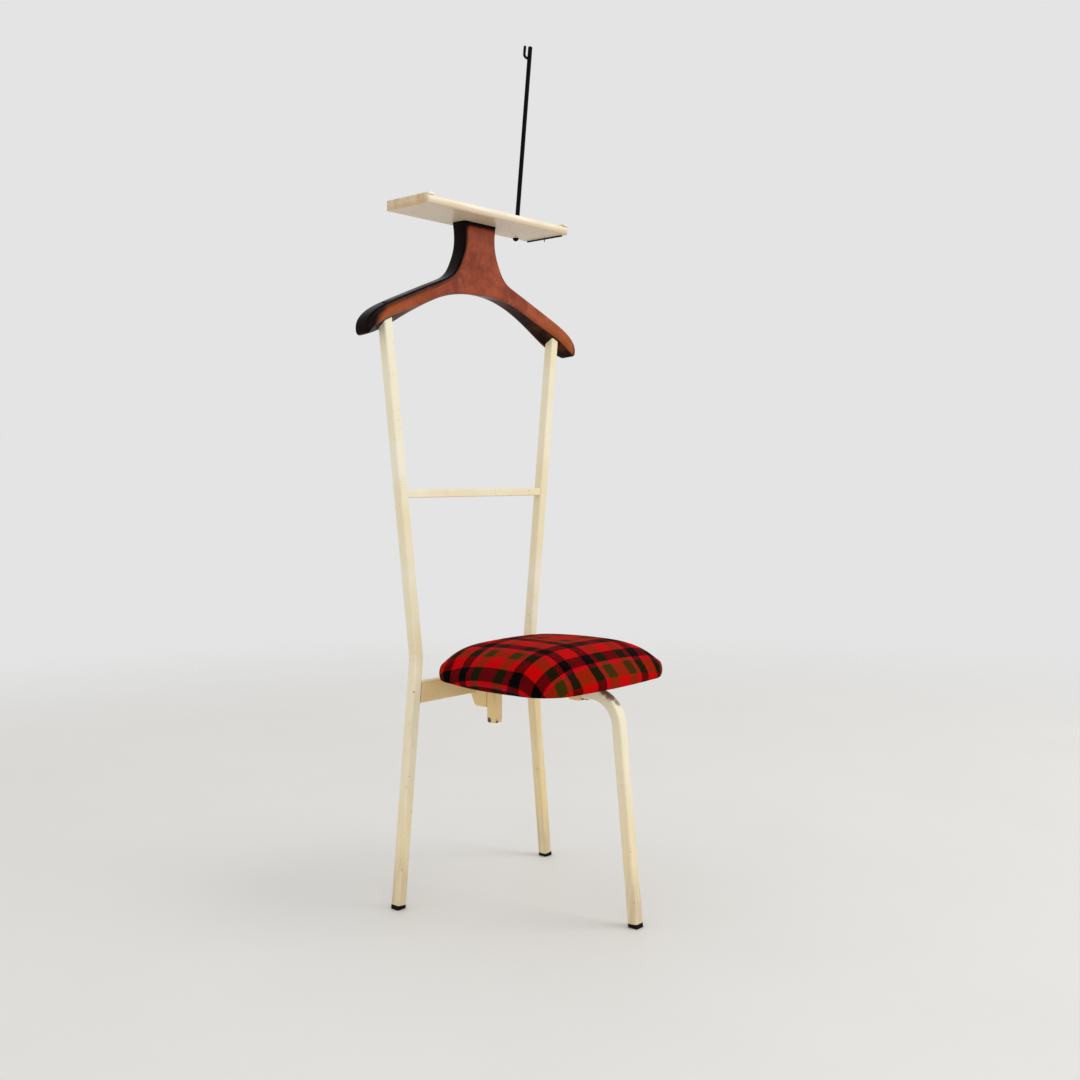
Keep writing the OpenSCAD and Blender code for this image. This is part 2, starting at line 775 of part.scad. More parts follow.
// The seat's outline: a trapezoid with round corners and bowed edges.
edge_n = 6;
corner_n = 5;

// Corner k of the trapezoid, counted from the front left.
function seat_place(k) = [
    [-seat_front_half, -seat_front_reach], [seat_front_half, -seat_front_reach],
    [seat_rear_half, -seat_rear_reach], [-seat_rear_half, -seat_rear_reach]][k % 4];

function unit(v) = v / norm(v);

// Centre of the corner's arc and the two points where it meets its edges.
function corner_arc(k) =
    let (p = seat_place(k), a = unit(seat_place(k + 3) - p), b = unit(seat_place(k + 1) - p))
    let (half = acos(a * b) / 2)
    [p + unit(a + b) * seat_corner / sin(half),
     p + a * seat_corner / tan(half),
     p + b * seat_corner / tan(half)];

function seat_outline() = [for (k = [0:3]) each concat(
    let (arc = corner_arc(k), u = arc[1] - arc[0], v = arc[2] - arc[0])
    let (turn = acos(u * v / norm(u) / norm(v)))
    [for (i = [0:corner_n - 1])
        let (s = turn * i / corner_n)
        arc[0] + [u[0] * cos(s) - u[1] * sin(s), u[0] * sin(s) + u[1] * cos(s)]],
    let (a = corner_arc(k)[2], b = corner_arc(k + 1)[1])
    let (out = unit([(b - a)[1], -(b - a)[0]]) * (k % 2 == 0 ? seat_bow : seat_side_bow))
    [for (i = [0:edge_n - 1])
        let (s = i / edge_n)
        a + (b - a) * s + out * 4 * s * (1 - s)])];

seat_middle = [0, -(seat_front_reach + seat_rear_reach) / 2 + seat_peak_back];

// Ring of the cushion: outline moved in by step, then drawn to the middle by share, at height z.
function seat_ring(line, step, share, z) = [for (p = line)
    let (r = p - seat_middle)
    let (q = seat_middle + r * share * (1 - step / norm(r)))
    [q[0], q[1], z]];

module seat_board() {
    color(plywood) difference() {
        at_frame() translate([0, 0, board_z]) linear_extrude(board_h)
            polygon([for (p = seat_ring(seat_outline(), board_in, 1, 0)) [p[0], p[1]]]);
        seat_screw_places() translate([0, 0, board_z - 1]) cylinder(r = screw_r, h = board_h - 1, $fn = 32);
    }
}

// Underside pocket over the board, rolled bottom edge, side and crown, as [step, share, height].
function seat_levels() =
    let (pocket = board_in - board_gap, top = seat_z + seat_side_h)
    concat(
        [[pocket, 1, board_z + board_h], [pocket, 1, seat_z + 0.6],
         [6, 1, seat_z - 0.8], [2.5, 1, seat_z + 0.8],
         [0.6, 1, seat_z + 5.5], [0, 1, seat_z + 12], [1.2, 1, seat_z + 18.5], [3.5, 1, seat_z + 23.5]],
        [for (s = [1, 0.985, 0.955, 0.91, 0.84, 0.72, 0.52, 0.26])
            [0, 0.95 * s, top + seat_crown * (1 - pow(s, seat_fullness))]]
    );

module seat_cushion() {
    line = seat_outline();
    levels = seat_levels();
    m = len(line);
    n = len(levels);
    low = n * m;
    top = low + 1;
    points = concat(
        [for (v = levels) each seat_ring(line, v[0], v[1], v[2])],
        [[seat_middle[0], seat_middle[1], board_z + board_h],
         [seat_middle[0], seat_middle[1], seat_z + seat_side_h + seat_crown]]
    );
    faces = concat(
        [for (i = [0:m - 1]) [low, i, (i + 1) % m]],
        [for (k = [0:n - 2], i = [0:m - 1])
            let (a = k * m + i, b = k * m + (i + 1) % m)
            each [[a, a + m, b + m], [a, b + m, b]]],
        [for (i = [0:m - 1]) [(n - 1) * m + i, top, (n - 1) * m + (i + 1) % m]]
    );
    color(tartan_red) at_frame() polyhedron(points, faces, convexity = 4);
}

// ---------- hook rod ----------

module rod_bush() {
    color(steel) at_rod() difference() {
        union() {
            translate([0, 0, bush_low])
                cylinder(r = bush_r, h = bush_seat + bush_flange_h - bush_low, $fn = 64);
            translate([0, 0, bush_seat + run_gap])
                cylinder(r = bush_flange_r, h = bush_flange_h - run_gap, $fn = 64);
        }
        translate([0, 0, bush_low - 1]) cylinder(d = rod_d + 2 * run_gap, h = tray_h * 2, $fn = 64);
    }
}

// The rod, with both ends rounded over.
module hook_rod() {
    r = rod_d / 2;
    soft = r * 0.6;
    color(black) at_rod() rotate_extrude($fn = 64) polygon(concat(
        [[0, 0]],
        [for (i = [0:4]) [r - soft + soft * sin(22.5 * i), soft - soft * cos(22.5 * i)]],
        [for (i = [0:4]) [r - soft + soft * cos(22.5 * i), rod_len - soft + soft * sin(22.5 * i)]],
        [[0, rod_len]]
    ));
}

module rod_stop() {
    color(black) at_rod() translate([0, 0, stop_low]) difference() {
        cylinder(r = stop_r, h = stop_h, $fn = 48);
        translate([0, 0, -1]) cylinder(d = rod_d, h = stop_h + 2, $fn = 64);
    }
}

// The prong: up beside the rod, round a square bend and into the weld on the rod's side.
module hook_prong() {
    r = prong_d / 2;
    bend_z = rod_len - hook_depth + prong_bend_r;
    color(black) at_rod() difference() {
        translate([prong_bend_r - prong_gap, 0, bend_z]) {
            translate([-prong_bend_r, 0, 0]) prong_tip(r, rod_len + prong_over - bend_z);
            translate([0, 0, -prong_bend_r]) rotate([0, 90, 0])
                cylinder(r = r, h = prong_gap - prong_bend_r, $fn = 32);
            rotate([0, 180, 0]) bend(prong_bend_r, 90, prong_d) circle(r = r, $fn = 32);
        }
        cylinder(d = rod_d, h = rod_len, $fn = 64);
    }
}

// The prong's straight part, with a rounded tip.
module prong_tip(r, h) {
    soft = r * 0.7;
    rotate_extrude($fn = 32) polygon(concat(
        [[0, 0], [r, 0]],
        [for (i = [0:4]) [r - soft + soft * cos(22.5 * i), h - soft + soft * sin(22.5 * i)]],
        [[0, h]]
    ));
}

// ---------- assembly ----------

left_upright();
right_upright();
crossbar();
rear_seat_rail();
centre_beam();
rail_bracket();
stub_tube();
stub_plug();
leg_saddle();
leg_spigot();
front_leg();
leg_screw();
left_rear_foot();
right_rear_foot();
front_foot();
post_plugs();
hanger();
hanger_screws();
tray_board();
tray_left_lip();
tray_right_lip();
tray_screws();
wire_bar();
wire_peg();
seat_bearers();
seat_board();
seat_screws();
seat_cushion();
rod_bush();
hook_rod();
hook_prong();
rod_stop();
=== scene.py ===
"""Clothes valet chair: the looks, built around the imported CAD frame. Metres, front is -Y, up is +Z."""
import json
import math

import bpy
import numpy as np
from mathutils import Matrix, Vector


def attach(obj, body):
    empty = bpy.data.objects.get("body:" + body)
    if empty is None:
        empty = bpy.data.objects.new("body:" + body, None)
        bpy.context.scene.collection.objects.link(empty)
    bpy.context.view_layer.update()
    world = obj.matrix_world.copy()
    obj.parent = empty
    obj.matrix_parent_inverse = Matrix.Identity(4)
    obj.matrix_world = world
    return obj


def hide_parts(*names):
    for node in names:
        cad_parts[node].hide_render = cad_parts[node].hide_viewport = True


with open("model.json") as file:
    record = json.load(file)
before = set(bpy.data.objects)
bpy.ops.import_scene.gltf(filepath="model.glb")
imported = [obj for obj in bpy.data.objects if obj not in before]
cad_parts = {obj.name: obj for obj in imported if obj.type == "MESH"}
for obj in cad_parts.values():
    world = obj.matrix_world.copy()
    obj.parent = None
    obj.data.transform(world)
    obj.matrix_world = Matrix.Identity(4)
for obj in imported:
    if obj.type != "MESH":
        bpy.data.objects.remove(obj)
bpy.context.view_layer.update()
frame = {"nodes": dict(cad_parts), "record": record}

NODES = frame["nodes"]
SCENE = bpy.context.scene
MM = 0.001
REAR_Y = 159.72  # where the rear frame's plane lies, mm
TRAY_Z = 1140.0  # the tray's underside, mm
SOFT_WHITE = (1.0, 0.995, 0.985)


# ---------- small helpers ----------

def rgb(red, green, blue):
    """A display colour from 0 to 255 as the linear colour that a node takes."""
    def linear(c):
        c /= 255
        return c / 12.92 if c <= 0.04045 else ((c + 0.055) / 1.055) ** 2.4
    return (linear(red), linear(green), linear(blue), 1.0)


def add_object(name, data):
    obj = bpy.data.objects.new(name, data)
    SCENE.collection.objects.link(obj)
    return obj


def mesh_object(name, points, faces, smooth=True):
    mesh = bpy.data.meshes.new(name)
    mesh.from_pydata([tuple(p) for p in points], [], faces)
    mesh.polygons.foreach_set("use_smooth", [smooth] * len(mesh.polygons))
    mesh.update()
    return add_object(name, mesh)


def points_of(mesh):
    co = np.empty(len(mesh.vertices) * 3)
    mesh.vertices.foreach_get("co", co)
    return co.reshape(-1, 3)


def store(mesh, name, values):
    """Keeps one vector per point on the mesh, for a material to read."""
    layer = mesh.attributes.get(name) or mesh.attributes.new(name, "FLOAT_VECTOR", "POINT")
    layer.data.foreach_set("vector", np.asarray(values, np.float32).ravel())


class Shader:
    """A material and short ways to add its nodes."""

    def __init__(self, name, **surface):
        self.material = bpy.data.materials.new(name)
        self.material.use_nodes = True
        self.tree = self.material.node_tree
        self.tree.nodes.clear()
        self.output = self.add("ShaderNodeOutputMaterial")
        self.surface = self.add("ShaderNodeBsdfPrincipled", **surface)
        self.plug(self.output.inputs["Surface"], self.surface.outputs[0])
        self.where = self.add("ShaderNodeTexCoord").outputs["Object"]

    def add(self, kind, setup=None, **inputs):
        node = self.tree.nodes.new(kind)
        for key, value in (setup or {}).items():
            setattr(node, key, value)
        for key, value in inputs.items():
            self.plug(node.inputs[key.replace("_", " ")], value)
        return node

    def plug(self, socket, value):
        if isinstance(value, bpy.types.NodeSocket):
            self.tree.links.new(value, socket)
        else:
            socket.default_value = value

    def math(self, operation, *values):
        node = self.add("ShaderNodeMath", {"operation": operation})
        for socket, value in zip(node.inputs, values):
            self.plug(socket, value)
        return node.outputs[0]

    def vector(self, operation, *values):
        node = self.add("ShaderNodeVectorMath", {"operation": operation})
        for socket, value in zip(node.inputs, values):
            self.plug(socket, value)
        return node.outputs["Value" if operation in ("DOT_PRODUCT", "LENGTH", "DISTANCE") else "Vector"]

    def scaled(self, vector, factors):
        return self.vector("MULTIPLY", vector, factors)

    def parts(self, vector):
        return self.add("ShaderNodeSeparateXYZ", Vector=vector).outputs

    def attribute(self, name):
        return self.add("ShaderNodeAttribute", {"attribute_name": name}).outputs["Vector"]

    def noise(self, vector, scale, detail=2.0, roughness=0.5):
        node = self.add("ShaderNodeTexNoise", Vector=vector, Scale=scale, Detail=detail,
                        Roughness=roughness)
        return node.outputs["Fac"]

    def fade(self, value, low, high, start=0.0, end=1.0):
        """Smoothly from start to end while value goes from low to high."""
        node = self.add("ShaderNodeMapRange", {"interpolation_type": "SMOOTHSTEP"}, Value=value,
                        From_Min=low, From_Max=high, To_Min=start, To_Max=end)
        return node.outputs[0]

    def mix(self, factor, first, second, kind="MIX"):
        node = self.add("ShaderNodeMix", {"data_type": "RGBA", "blend_type": kind})
        self.plug(node.inputs[0], factor)
        self.plug(node.inputs[6], first)
        self.plug(node.inputs[7], second)
        return node.outputs[2]

    def ramp(self, value, stops, kind="LINEAR"):
        node = self.add("ShaderNodeValToRGB", Fac=value)
        band = node.color_ramp
        band.interpolation = kind
        while len(band.elements) < len(stops):
            band.elements.new(1.0)
        for element, (position, colour) in zip(band.elements, stops):
            element.position = position
            element.color = colour
        return node.outputs[0]

    def spot(self, centre, radius, ragged, soft=0.35):
        """1 within radius of a point on the object, with a ragged rim."""
        away = self.vector("DISTANCE", self.where, centre)
        rim = self.math("MULTIPLY", self.math("SUBTRACT", ragged, 0.5), radius * 1.6)
        away = self.math("ADD", away, rim)
        return self.fade(away, radius * (1 - soft), radius * (1 + soft), 1.0, 0.0)

    def edges(self, radius):
        """1 at sharp edges and corners, 0 on flat places."""
        rounded = self.add("ShaderNodeBevel", {"samples": 4}, Radius=radius).outputs[0]
        flat = self.add("ShaderNodeNewGeometry").outputs["True Normal"]
        return self.fade(self.vector("DOT_PRODUCT", rounded, flat), 0.80, 0.985, 1.0, 0.0)

    def finish(self, colour, roughness, height=None, strength=0.2, distance=0.001, rounded=0.0):
        self.plug(self.surface.inputs["Base Color"], colour)
        self.plug(self.surface.inputs["Roughness"], roughness)
        normal = None
        if rounded:
            normal = self.add("ShaderNodeBevel", {"samples": 4}, Radius=rounded).outputs[0]
        if height is not None:
            bump = self.add("ShaderNodeBump", Height=height, Strength=strength, Distance=distance)
            if normal is not None:
                self.plug(bump.inputs["Normal"], normal)
            normal = bump.outputs[0]
        if normal is not None:
            self.plug(self.surface.inputs["Normal"], normal)
        return self.material


# ---------- materials ----------

# Heights on the legs, in m, between which the paint is scraped and grimy, and between which it turns
# yellow-brown towards the bottom; on the right side it is yellow-brown below the seat.
SCRAPED_Z = (0.028, 0.115)
YELLOW_BROWN_Z = (0.02, 0.42)
RIGHT_LEG_Z = (0.36, 0.44)
RIGHT_LEG_X = (0.02, 0.14)
SCRAPED = rgb(188, 170, 142)


def worn_enamel(name, clean, aged, yellow_brown, bare, chip_low, spots=(), roughness=0.34):
    """Old gloss paint on steel: uneven yellowing, a yellow-brown tone towards the bottom and on the
    right side below the seat, grime, scuffs, chips to the metal and worn edges.
    """
    s = Shader(name, Specular_IOR_Level=0.5, Coat_Weight=0.25, Coat_Roughness=0.2)
    broad = s.noise(s.where, 5.0, 3.0, 0.6)
    mottle = s.noise(s.where, 34.0, 5.0, 0.68)
    speck = s.noise(s.where, 330.0, 2.0, 0.6)
    grain = s.noise(s.where, 1400.0, 2.0)
    streak = s.noise(s.scaled(s.where, (90.0, 90.0, 9.0)), 1.0, 4.0, 0.62)
    tone = s.mix(s.fade(broad, 0.36, 0.66), clean, aged)
    tone = s.mix(s.math("MULTIPLY", s.fade(mottle, 0.5, 0.74), 0.5), tone, aged)
    x, _, z = s.parts(s.where)
    # The paint turns yellow-brown towards the bottom, and on the right side below the seat.
    right_leg = s.math("MULTIPLY", s.fade(z, *RIGHT_LEG_Z, 1.0, 0.0), s.fade(x, *RIGHT_LEG_X))
    low = s.math("MAXIMUM", s.fade(z, *YELLOW_BROWN_Z, 0.75, 0.0), right_leg)
    tone = s.mix(s.math("MULTIPLY", low, s.fade(streak, 0.32, 0.68, 0.35, 1.0)), tone, yellow_brown)
    scuff = s.math("MULTIPLY", s.fade(streak, 0.6, 0.76), 0.35)
    tone = s.mix(scuff, tone, yellow_brown)
    scraped = s.math("MULTIPLY", s.fade(z, *SCRAPED_Z, 1.0, 0.0), s.fade(streak, 0.36, 0.6, 0.15, 0.62))
    tone = s.mix(scraped, tone, SCRAPED)
    chips = s.math("MULTIPLY", s.fade(speck, chip_low, chip_low + 0.03), s.fade(mottle, 0.5, 0.6))
    rubbed = s.math("MULTIPLY", s.edges(0.0016), s.fade(mottle, 0.5, 0.64))
    rubbed = s.math("MULTIPLY", rubbed, s.fade(speck, 0.42, 0.56))
    wear = s.math("MAXIMUM", chips, s.math("MULTIPLY", rubbed, 0.75))
    for centre, radius, share in spots:
        mark = s.spot(centre, radius, s.noise(s.where, 420.0, 3.0, 0.7))
        wear = s.math("MAXIMUM", wear, s.math("MULTIPLY", mark, share))
    stain = s.fade(wear, 0.0, 0.7, 0.0, 1.0)
    colour = s.mix(s.math("MULTIPLY", stain, 0.9), tone, bare)
    rough = s.fade(mottle, 0.3, 0.7, roughness, roughness + 0.14)
    rough = s.math("ADD", s.math("MULTIPLY", wear, 0.35), rough)
    height = s.math("ADD", s.math("MULTIPLY", wear, -0.6), s.math("MULTIPLY", grain, 0.06))
    height = s.math("ADD", height, s.math("MULTIPLY", mottle, 0.25))
    return s.finish(colour, rough, height, 0.35, 0.0006)


def plain_black(name, base, worn, scale, roughness, wear_share):
    """Black rubber or enamel with dust, rubbed edges and an uneven sheen."""
    s = Shader(name, Specular_IOR_Level=0.06)
    cloud = s.noise(s.where, scale, 4.0, 0.65)
    fine = s.noise(s.where, scale * 14, 3.0, 0.6)
    rubbed = s.math("MULTIPLY", s.edges(0.0008), s.fade(cloud, 0.4, 0.62))
    rubbed = s.math("MULTIPLY", rubbed, wear_share)
    dust = s.math("MULTIPLY", s.fade(fine, 0.52, 0.76), s.fade(cloud, 0.35, 0.7, 0.05, 0.3))
    colour = s.mix(s.math("MAXIMUM", rubbed, dust), base, worn)
    rough = s.fade(cloud, 0.3, 0.7, roughness, roughness + 0.2)
    return s.finish(colour, rough, fine, 0.25, 0.0003)


def steel(name):
    """Dull zinc-plated steel, with fine drawn lines and a few dark spots."""
    s = Shader(name, Metallic=1.0)
    cloud = s.noise(s.where, 60.0, 4.0, 0.7)
    lines = s.noise(s.scaled(s.where, (900.0, 60.0, 900.0)), 1.0, 2.0)
    colour = s.mix(s.fade(cloud, 0.4, 0.72), rgb(158, 154, 146), rgb(96, 84, 70))
    rough = s.math("ADD", s.fade(cloud, 0.3, 0.7, 0.3, 0.5), s.math("MULTIPLY", lines, 0.1))
    return s.finish(colour, rough, lines, 0.15, 0.0002)


PLY = 1.6 * MM


def plywood(name):
    """Bare plywood: long grain on its faces, layers on its edge."""
    s = Shader(name, Specular_IOR_Level=0.3)
    warp = s.noise(s.where, 6.0, 2.0)
    grain = s.noise(s.scaled(s.where, (260.0, 14.0, 40.0)), 1.0, 5.0, 0.6)
    rings = s.noise(s.scaled(s.where, (42.0, 3.0, 3.0)), 1.0, 3.0)
    colour = s.mix(s.fade(grain, 0.3, 0.7), rgb(196, 160, 112), rgb(150, 112, 70))
    colour = s.mix(s.fade(rings, 0.45, 0.62, 0.0, 0.5), colour, rgb(128, 92, 56))
    layers = s.math("PINGPONG", s.parts(s.where)[2], PLY)
    colour = s.mix(s.fade(layers, 0.0007, 0.0009, 0.0, 0.25), colour, rgb(110, 78, 48))
    return s.finish(colour, s.fade(warp, 0.3, 0.7, 0.62, 0.78), grain, 0.3, 0.0004)


# Between these heights, in m, the painted shade on the tray's underside fades out into its edge.
TRAY_UNDER_SHADE = (1.1448, 1.1496)


def lacquer(name):
    """The tray's cream lacquer over wood: faint grain under gloss, yellowing, dark in small dents, with
    painted shade on the underside, and darker end faces that are partly end grain and partly painted
    shade.
    """
    s = Shader(name, Specular_IOR_Level=0.2, Coat_Weight=0.12, Coat_Roughness=0.16)
    broad = s.noise(s.where, 9.0, 3.0, 0.6)
    grain = s.noise(s.scaled(s.where, (14.0, 210.0, 210.0)), 1.0, 4.0, 0.6)
    mottle = s.noise(s.where, 55.0, 5.0, 0.7)
    dents = s.noise(s.where, 260.0, 2.0)
    colour = s.mix(s.fade(broad, 0.32, 0.7), rgb(243, 237, 220), rgb(233, 220, 192))
    colour = s.mix(s.fade(grain, 0.44, 0.72, 0.0, 0.4), colour, rgb(206, 180, 136))
    faces = s.parts(s.add("ShaderNodeTexCoord").outputs["Normal"])
    # Painted shade: the underside and the lowest part of the edge are darker.
    under = s.fade(s.parts(s.where)[2], *TRAY_UNDER_SHADE, 0.8, 0.0)
    colour = s.mix(under, colour, rgb(208, 184, 154))
    # Darker end faces: partly end grain soaking up the lacquer, partly painted shade.
    end = s.fade(s.math("ABSOLUTE", faces[0]), 0.6, 0.9)
    end_grain_and_shade = s.math("MULTIPLY", end, s.fade(mottle, 0.35, 0.6, 0.5, 0.85))
    colour = s.mix(end_grain_and_shade, colour, rgb(190, 160, 118))
    rubbed = s.math("MULTIPLY", s.edges(0.002), s.fade(mottle, 0.46, 0.62, 0.0, 0.5))
    colour = s.mix(rubbed, colour, rgb(196, 164, 116))
    chips = s.math("MULTIPLY", s.fade(dents, 0.69, 0.72), s.fade(mottle, 0.48, 0.58))
    colour = s.mix(s.math("MULTIPLY", chips, 0.7), colour, rgb(120, 88, 56))
    rough = s.math("ADD", s.fade(mottle, 0.3, 0.7, 0.26, 0.42), s.math("MULTIPLY", chips, 0.3))
    height = s.math("SUBTRACT", s.math("MULTIPLY", grain, 0.35), chips)
    return s.finish(colour, rough, height, 0.3, 0.0005)


def mahogany(name):
    """The hanger's glossy stain: red-brown faces that shade to near black at edges, sides and underside,
    with painted shade along the left arm's top and at the left tip, a painted shadow under the tray, and
    lighter mottling that is partly painted highlight.
    "burst" holds how far a point is into a face and towards a tip, and "grain" follows the arms."""
    s = Shader(name, Specular_IOR_Level=0.04, Coat_Roughness=0.16)
    burst_and_shade, tip, _ = s.parts(s.attribute("burst_and_shade"))
    along = s.attribute("grain")
    fibre = s.noise(s.scaled(along, (16.0, 420.0, 420.0)), 1.0, 4.0, 0.62)
    figure = s.noise(s.scaled(along, (7.0, 60.0, 60.0)), 1.0, 4.0, 0.6)
    cloud = s.noise(s.where, 26.0, 4.0, 0.65)
    pores = s.noise(s.scaled(along, (120.0, 1500.0, 1500.0)), 1.0, 2.0)
    face = s.mix(s.fade(cloud, 0.34, 0.66), rgb(158, 74, 44), rgb(122, 50, 28))
    face = s.mix(s.fade(figure, 0.44, 0.7, 0.0, 0.3), face, rgb(110, 40, 22))
    # Lighter pinkish mottling: partly lacquer bloom, partly painted highlight.
    bloom_and_highlight = s.noise(s.scaled(s.where, (30.0, 30.0, 18.0)), 1.0, 4.0, 0.7)
    face = s.mix(s.fade(bloom_and_highlight, 0.54, 0.72, 0.0, 0.4), face, rgb(184, 104, 80))
    face = s.mix(s.math("MULTIPLY", tip, 0.6), face, rgb(168, 86, 32))
    face = s.mix(s.fade(fibre, 0.46, 0.74, 0.0, 0.3), face, rgb(80, 30, 16))
    dark = s.mix(s.fade(cloud, 0.4, 0.7), rgb(10, 4, 4), rgb(24, 9, 7))
    shade = s.math("ADD", burst_and_shade, s.math("MULTIPLY", s.math("SUBTRACT", cloud, 0.5), 0.5))
    colour = s.mix(s.fade(shade, 0.1, 0.62), dark, face)
    colour = s.mix(s.fade(pores, 0.62, 0.72, 0.0, 0.5), colour, rgb(30, 12, 9))
    s.plug(s.surface.inputs["Coat Weight"], s.math("MULTIPLY", burst_and_shade, 0.35))
    rough = s.math("ADD", s.fade(cloud, 0.3, 0.7, 0.24, 0.4), s.math("MULTIPLY", pores, 0.06))
    return s.finish(colour, rough, s.math("ADD", fibre, pores), 0.12, 0.0003)


# Stripes of the tartan, as dye and where each ends, in mm. BANDS_U run across the seat from its left
# end; BANDS_V run back from the front.
BANDS_U = [("black", -208.5), ("mauve", -206.5), ("red", -200), ("black", -175), ("red", -150),
           ("olive", -128), ("red", -124), ("mauve", -122.4), ("red", -118), ("black", -97.5),
           ("red", -63.5), ("black", -43), ("red", -40.5), ("mauve", -38.9), ("red", -32),
           ("olive", -9), ("red", 20), ("olive", 42), ("red", 47.5), ("mauve", 49.1), ("red", 53),
           ("black", 74), ("red", 102), ("black", 122), ("red", 126.5), ("mauve", 128.1), ("red", 132),
           ("olive", 153), ("red", 178), ("olive", 200), ("black", 230)]
BANDS_V = [("black", -392), ("red", -333), ("olive", -308), ("red", -305), ("mauve", -303.4),
           ("red", -300), ("black", -279), ("red", -249), ("black", -226), ("red", -221.8),
           ("mauve", -220.2), ("red", -214), ("olive", -193), ("red", -155), ("olive", -133),
           ("red", -127), ("mauve", -125.4), ("red", -119), ("black", -98), ("red", -68),
           ("black", -47), ("red", -42), ("mauve", -40.4), ("red", -34), ("olive", -13), ("red", 25),
           ("olive", 60)]
SPAN_U = (-230.0, 230.0)
SPAN_V = (-400.0, 60.0)
YARN = 0.9 * MM
# Each dye's colour, and how much its yarns cover the others.
DYES = {"red": (*rgb(190, 3, 6)[:3], 0.5), "olive": (*rgb(54, 46, 8)[:3], 0.58),
        "mauve": (*rgb(140, 30, 52)[:3], 0.66), "black": (*rgb(4, 4, 5)[:3], 1.0)}


def tartan(name):
    """Woollen tartan in a two-by-two twill: each yarn has its stripe's colour, and a point shows warp or
    weft. "cloth" holds each point's place on the flat cloth."""
    s = Shader(name, Specular_IOR_Level=0.02, Sheen_Weight=0.02, Sheen_Roughness=0.3)
    s.surface.inputs["Sheen Tint"].default_value = rgb(255, 196, 180)
    u, v, _ = s.parts(s.attribute("cloth"))
    drift = s.noise(s.where, 14.0, 2.0)
    sway = s.math("MULTIPLY", s.math("SUBTRACT", drift, 0.5), 2.5 * MM)

    def stripes(place, span, bands):
        start, end = span
        share = s.math("SUBTRACT", s.math("ADD", place, sway), start * MM)
        share = s.math("DIVIDE", share, (end - start) * MM)
        stops = [(0.0, DYES[bands[0][0]])]
        for (_, reach), (dye, _) in zip(bands, bands[1:]):
            stops.append(((reach - start) / (end - start), DYES[dye]))
        colour = s.ramp(share, stops, "CONSTANT")
        return colour, colour.node.outputs["Alpha"]

    # The stripes run askew where the cloth was pulled over the front and the rear.
    pulled_u = s.math("SUBTRACT", u, s.fade(v, -325 * MM, -235 * MM, 0.0, 17 * MM))
    front_pull = s.fade(v, -345 * MM, -290 * MM, 6 * MM, 0.0)
    front_pull = s.math("MULTIPLY", front_pull, s.fade(u, -140 * MM, -90 * MM))
    pulled_u = s.math("SUBTRACT", pulled_u, front_pull)
    pulled_v = s.math("ADD", v, s.fade(v, -235 * MM, -100 * MM, 0.0, 12 * MM))
    warp, warp_cover = stripes(pulled_u, SPAN_U, BANDS_U)
    weft, weft_cover = stripes(pulled_v, SPAN_V, BANDS_V)
    i = s.math("DIVIDE", u, YARN)
    j = s.math("DIVIDE", v, YARN)
    # Of every four crossings the warp is over in two, or more where its dye covers better.
    steps = s.math("ADD", s.math("FLOOR", i), s.math("FLOOR", j))
    wins = s.math("MULTIPLY", s.math("SUBTRACT", warp_cover, weft_cover), 2.8)
    turn = s.math("ADD", s.math("FLOORED_MODULO", steps, 4.0), s.noise(s.where, 900.0, 1.0))
    over = s.math("LESS_THAN", turn, s.math("ADD", wins, 2.0))
    colour = s.mix(over, weft, warp)

    def crown(place):
        across = s.math("SUBTRACT", s.math("MULTIPLY", s.math("FRACT", place), 2.0), 1.0)
        return s.math("SUBTRACT", 1.0, s.math("MULTIPLY", across, across))

    yarn = s.math("ADD", s.math("MULTIPLY", crown(i), over),
                  s.math("MULTIPLY", crown(j), s.math("SUBTRACT", 1.0, over)))
    fuzz = s.noise(s.where, 2600.0, 2.0)
    slub = s.noise(s.where, 240.0, 4.0, 0.7)
    faded = s.noise(s.where, 11.0, 3.0)
    # Painted shade: darker between the yarns, where each yarn's round dips.
    colour = s.mix(s.fade(yarn, 0.0, 0.55, 0.4, 0.0), colour, rgb(16, 4, 4))
    lit = s.mix(1.0, colour, rgb(255, 150, 140), "SOFT_LIGHT")
    colour = s.mix(s.fade(slub, 0.45, 0.8, 0.0, 0.3), colour, lit)
    colour = s.mix(s.fade(faded, 0.45, 0.7, 0.0, 0.008), colour, rgb(200, 130, 110))
    height = s.math("ADD", s.math("MULTIPLY", yarn, 0.7), s.math("MULTIPLY", fuzz, 0.5))
    height = s.math("ADD", height, s.math("MULTIPLY", slub, 0.6))
    return s.finish(colour, s.fade(slub, 0.3, 0.7, 0.86, 0.97), height, 0.5, 0.0005)


# The largest marks, each as place, radius and how strongly it shows.
CREAM_MARKS = [((-0.1548, 0.1512, 0.3497), 0.0013, 0.8), ((-0.0020, -0.1270, 0.3610), 0.0085, 0.6),
               ((-0.0015, -0.1380, 0.3550), 0.0085, 0.7), ((0.0030, -0.1480, 0.3460), 0.0065, 0.5)]
STAINED_MARKS = [((-0.0095, 0.1196, 0.2850), 0.0046, 1.0), ((-0.0043, 0.1057, 0.2825), 0.0030, 0.9),
                 ((-0.0030, -0.0819, 0.3440), 0.0026, 1.0)]
CREAM = worn_enamel("cream_enamel_worn", rgb(234, 228, 205), rgb(229, 215, 178), rgb(228, 202, 146),
                    rgb(84, 62, 44), 0.68, CREAM_MARKS)
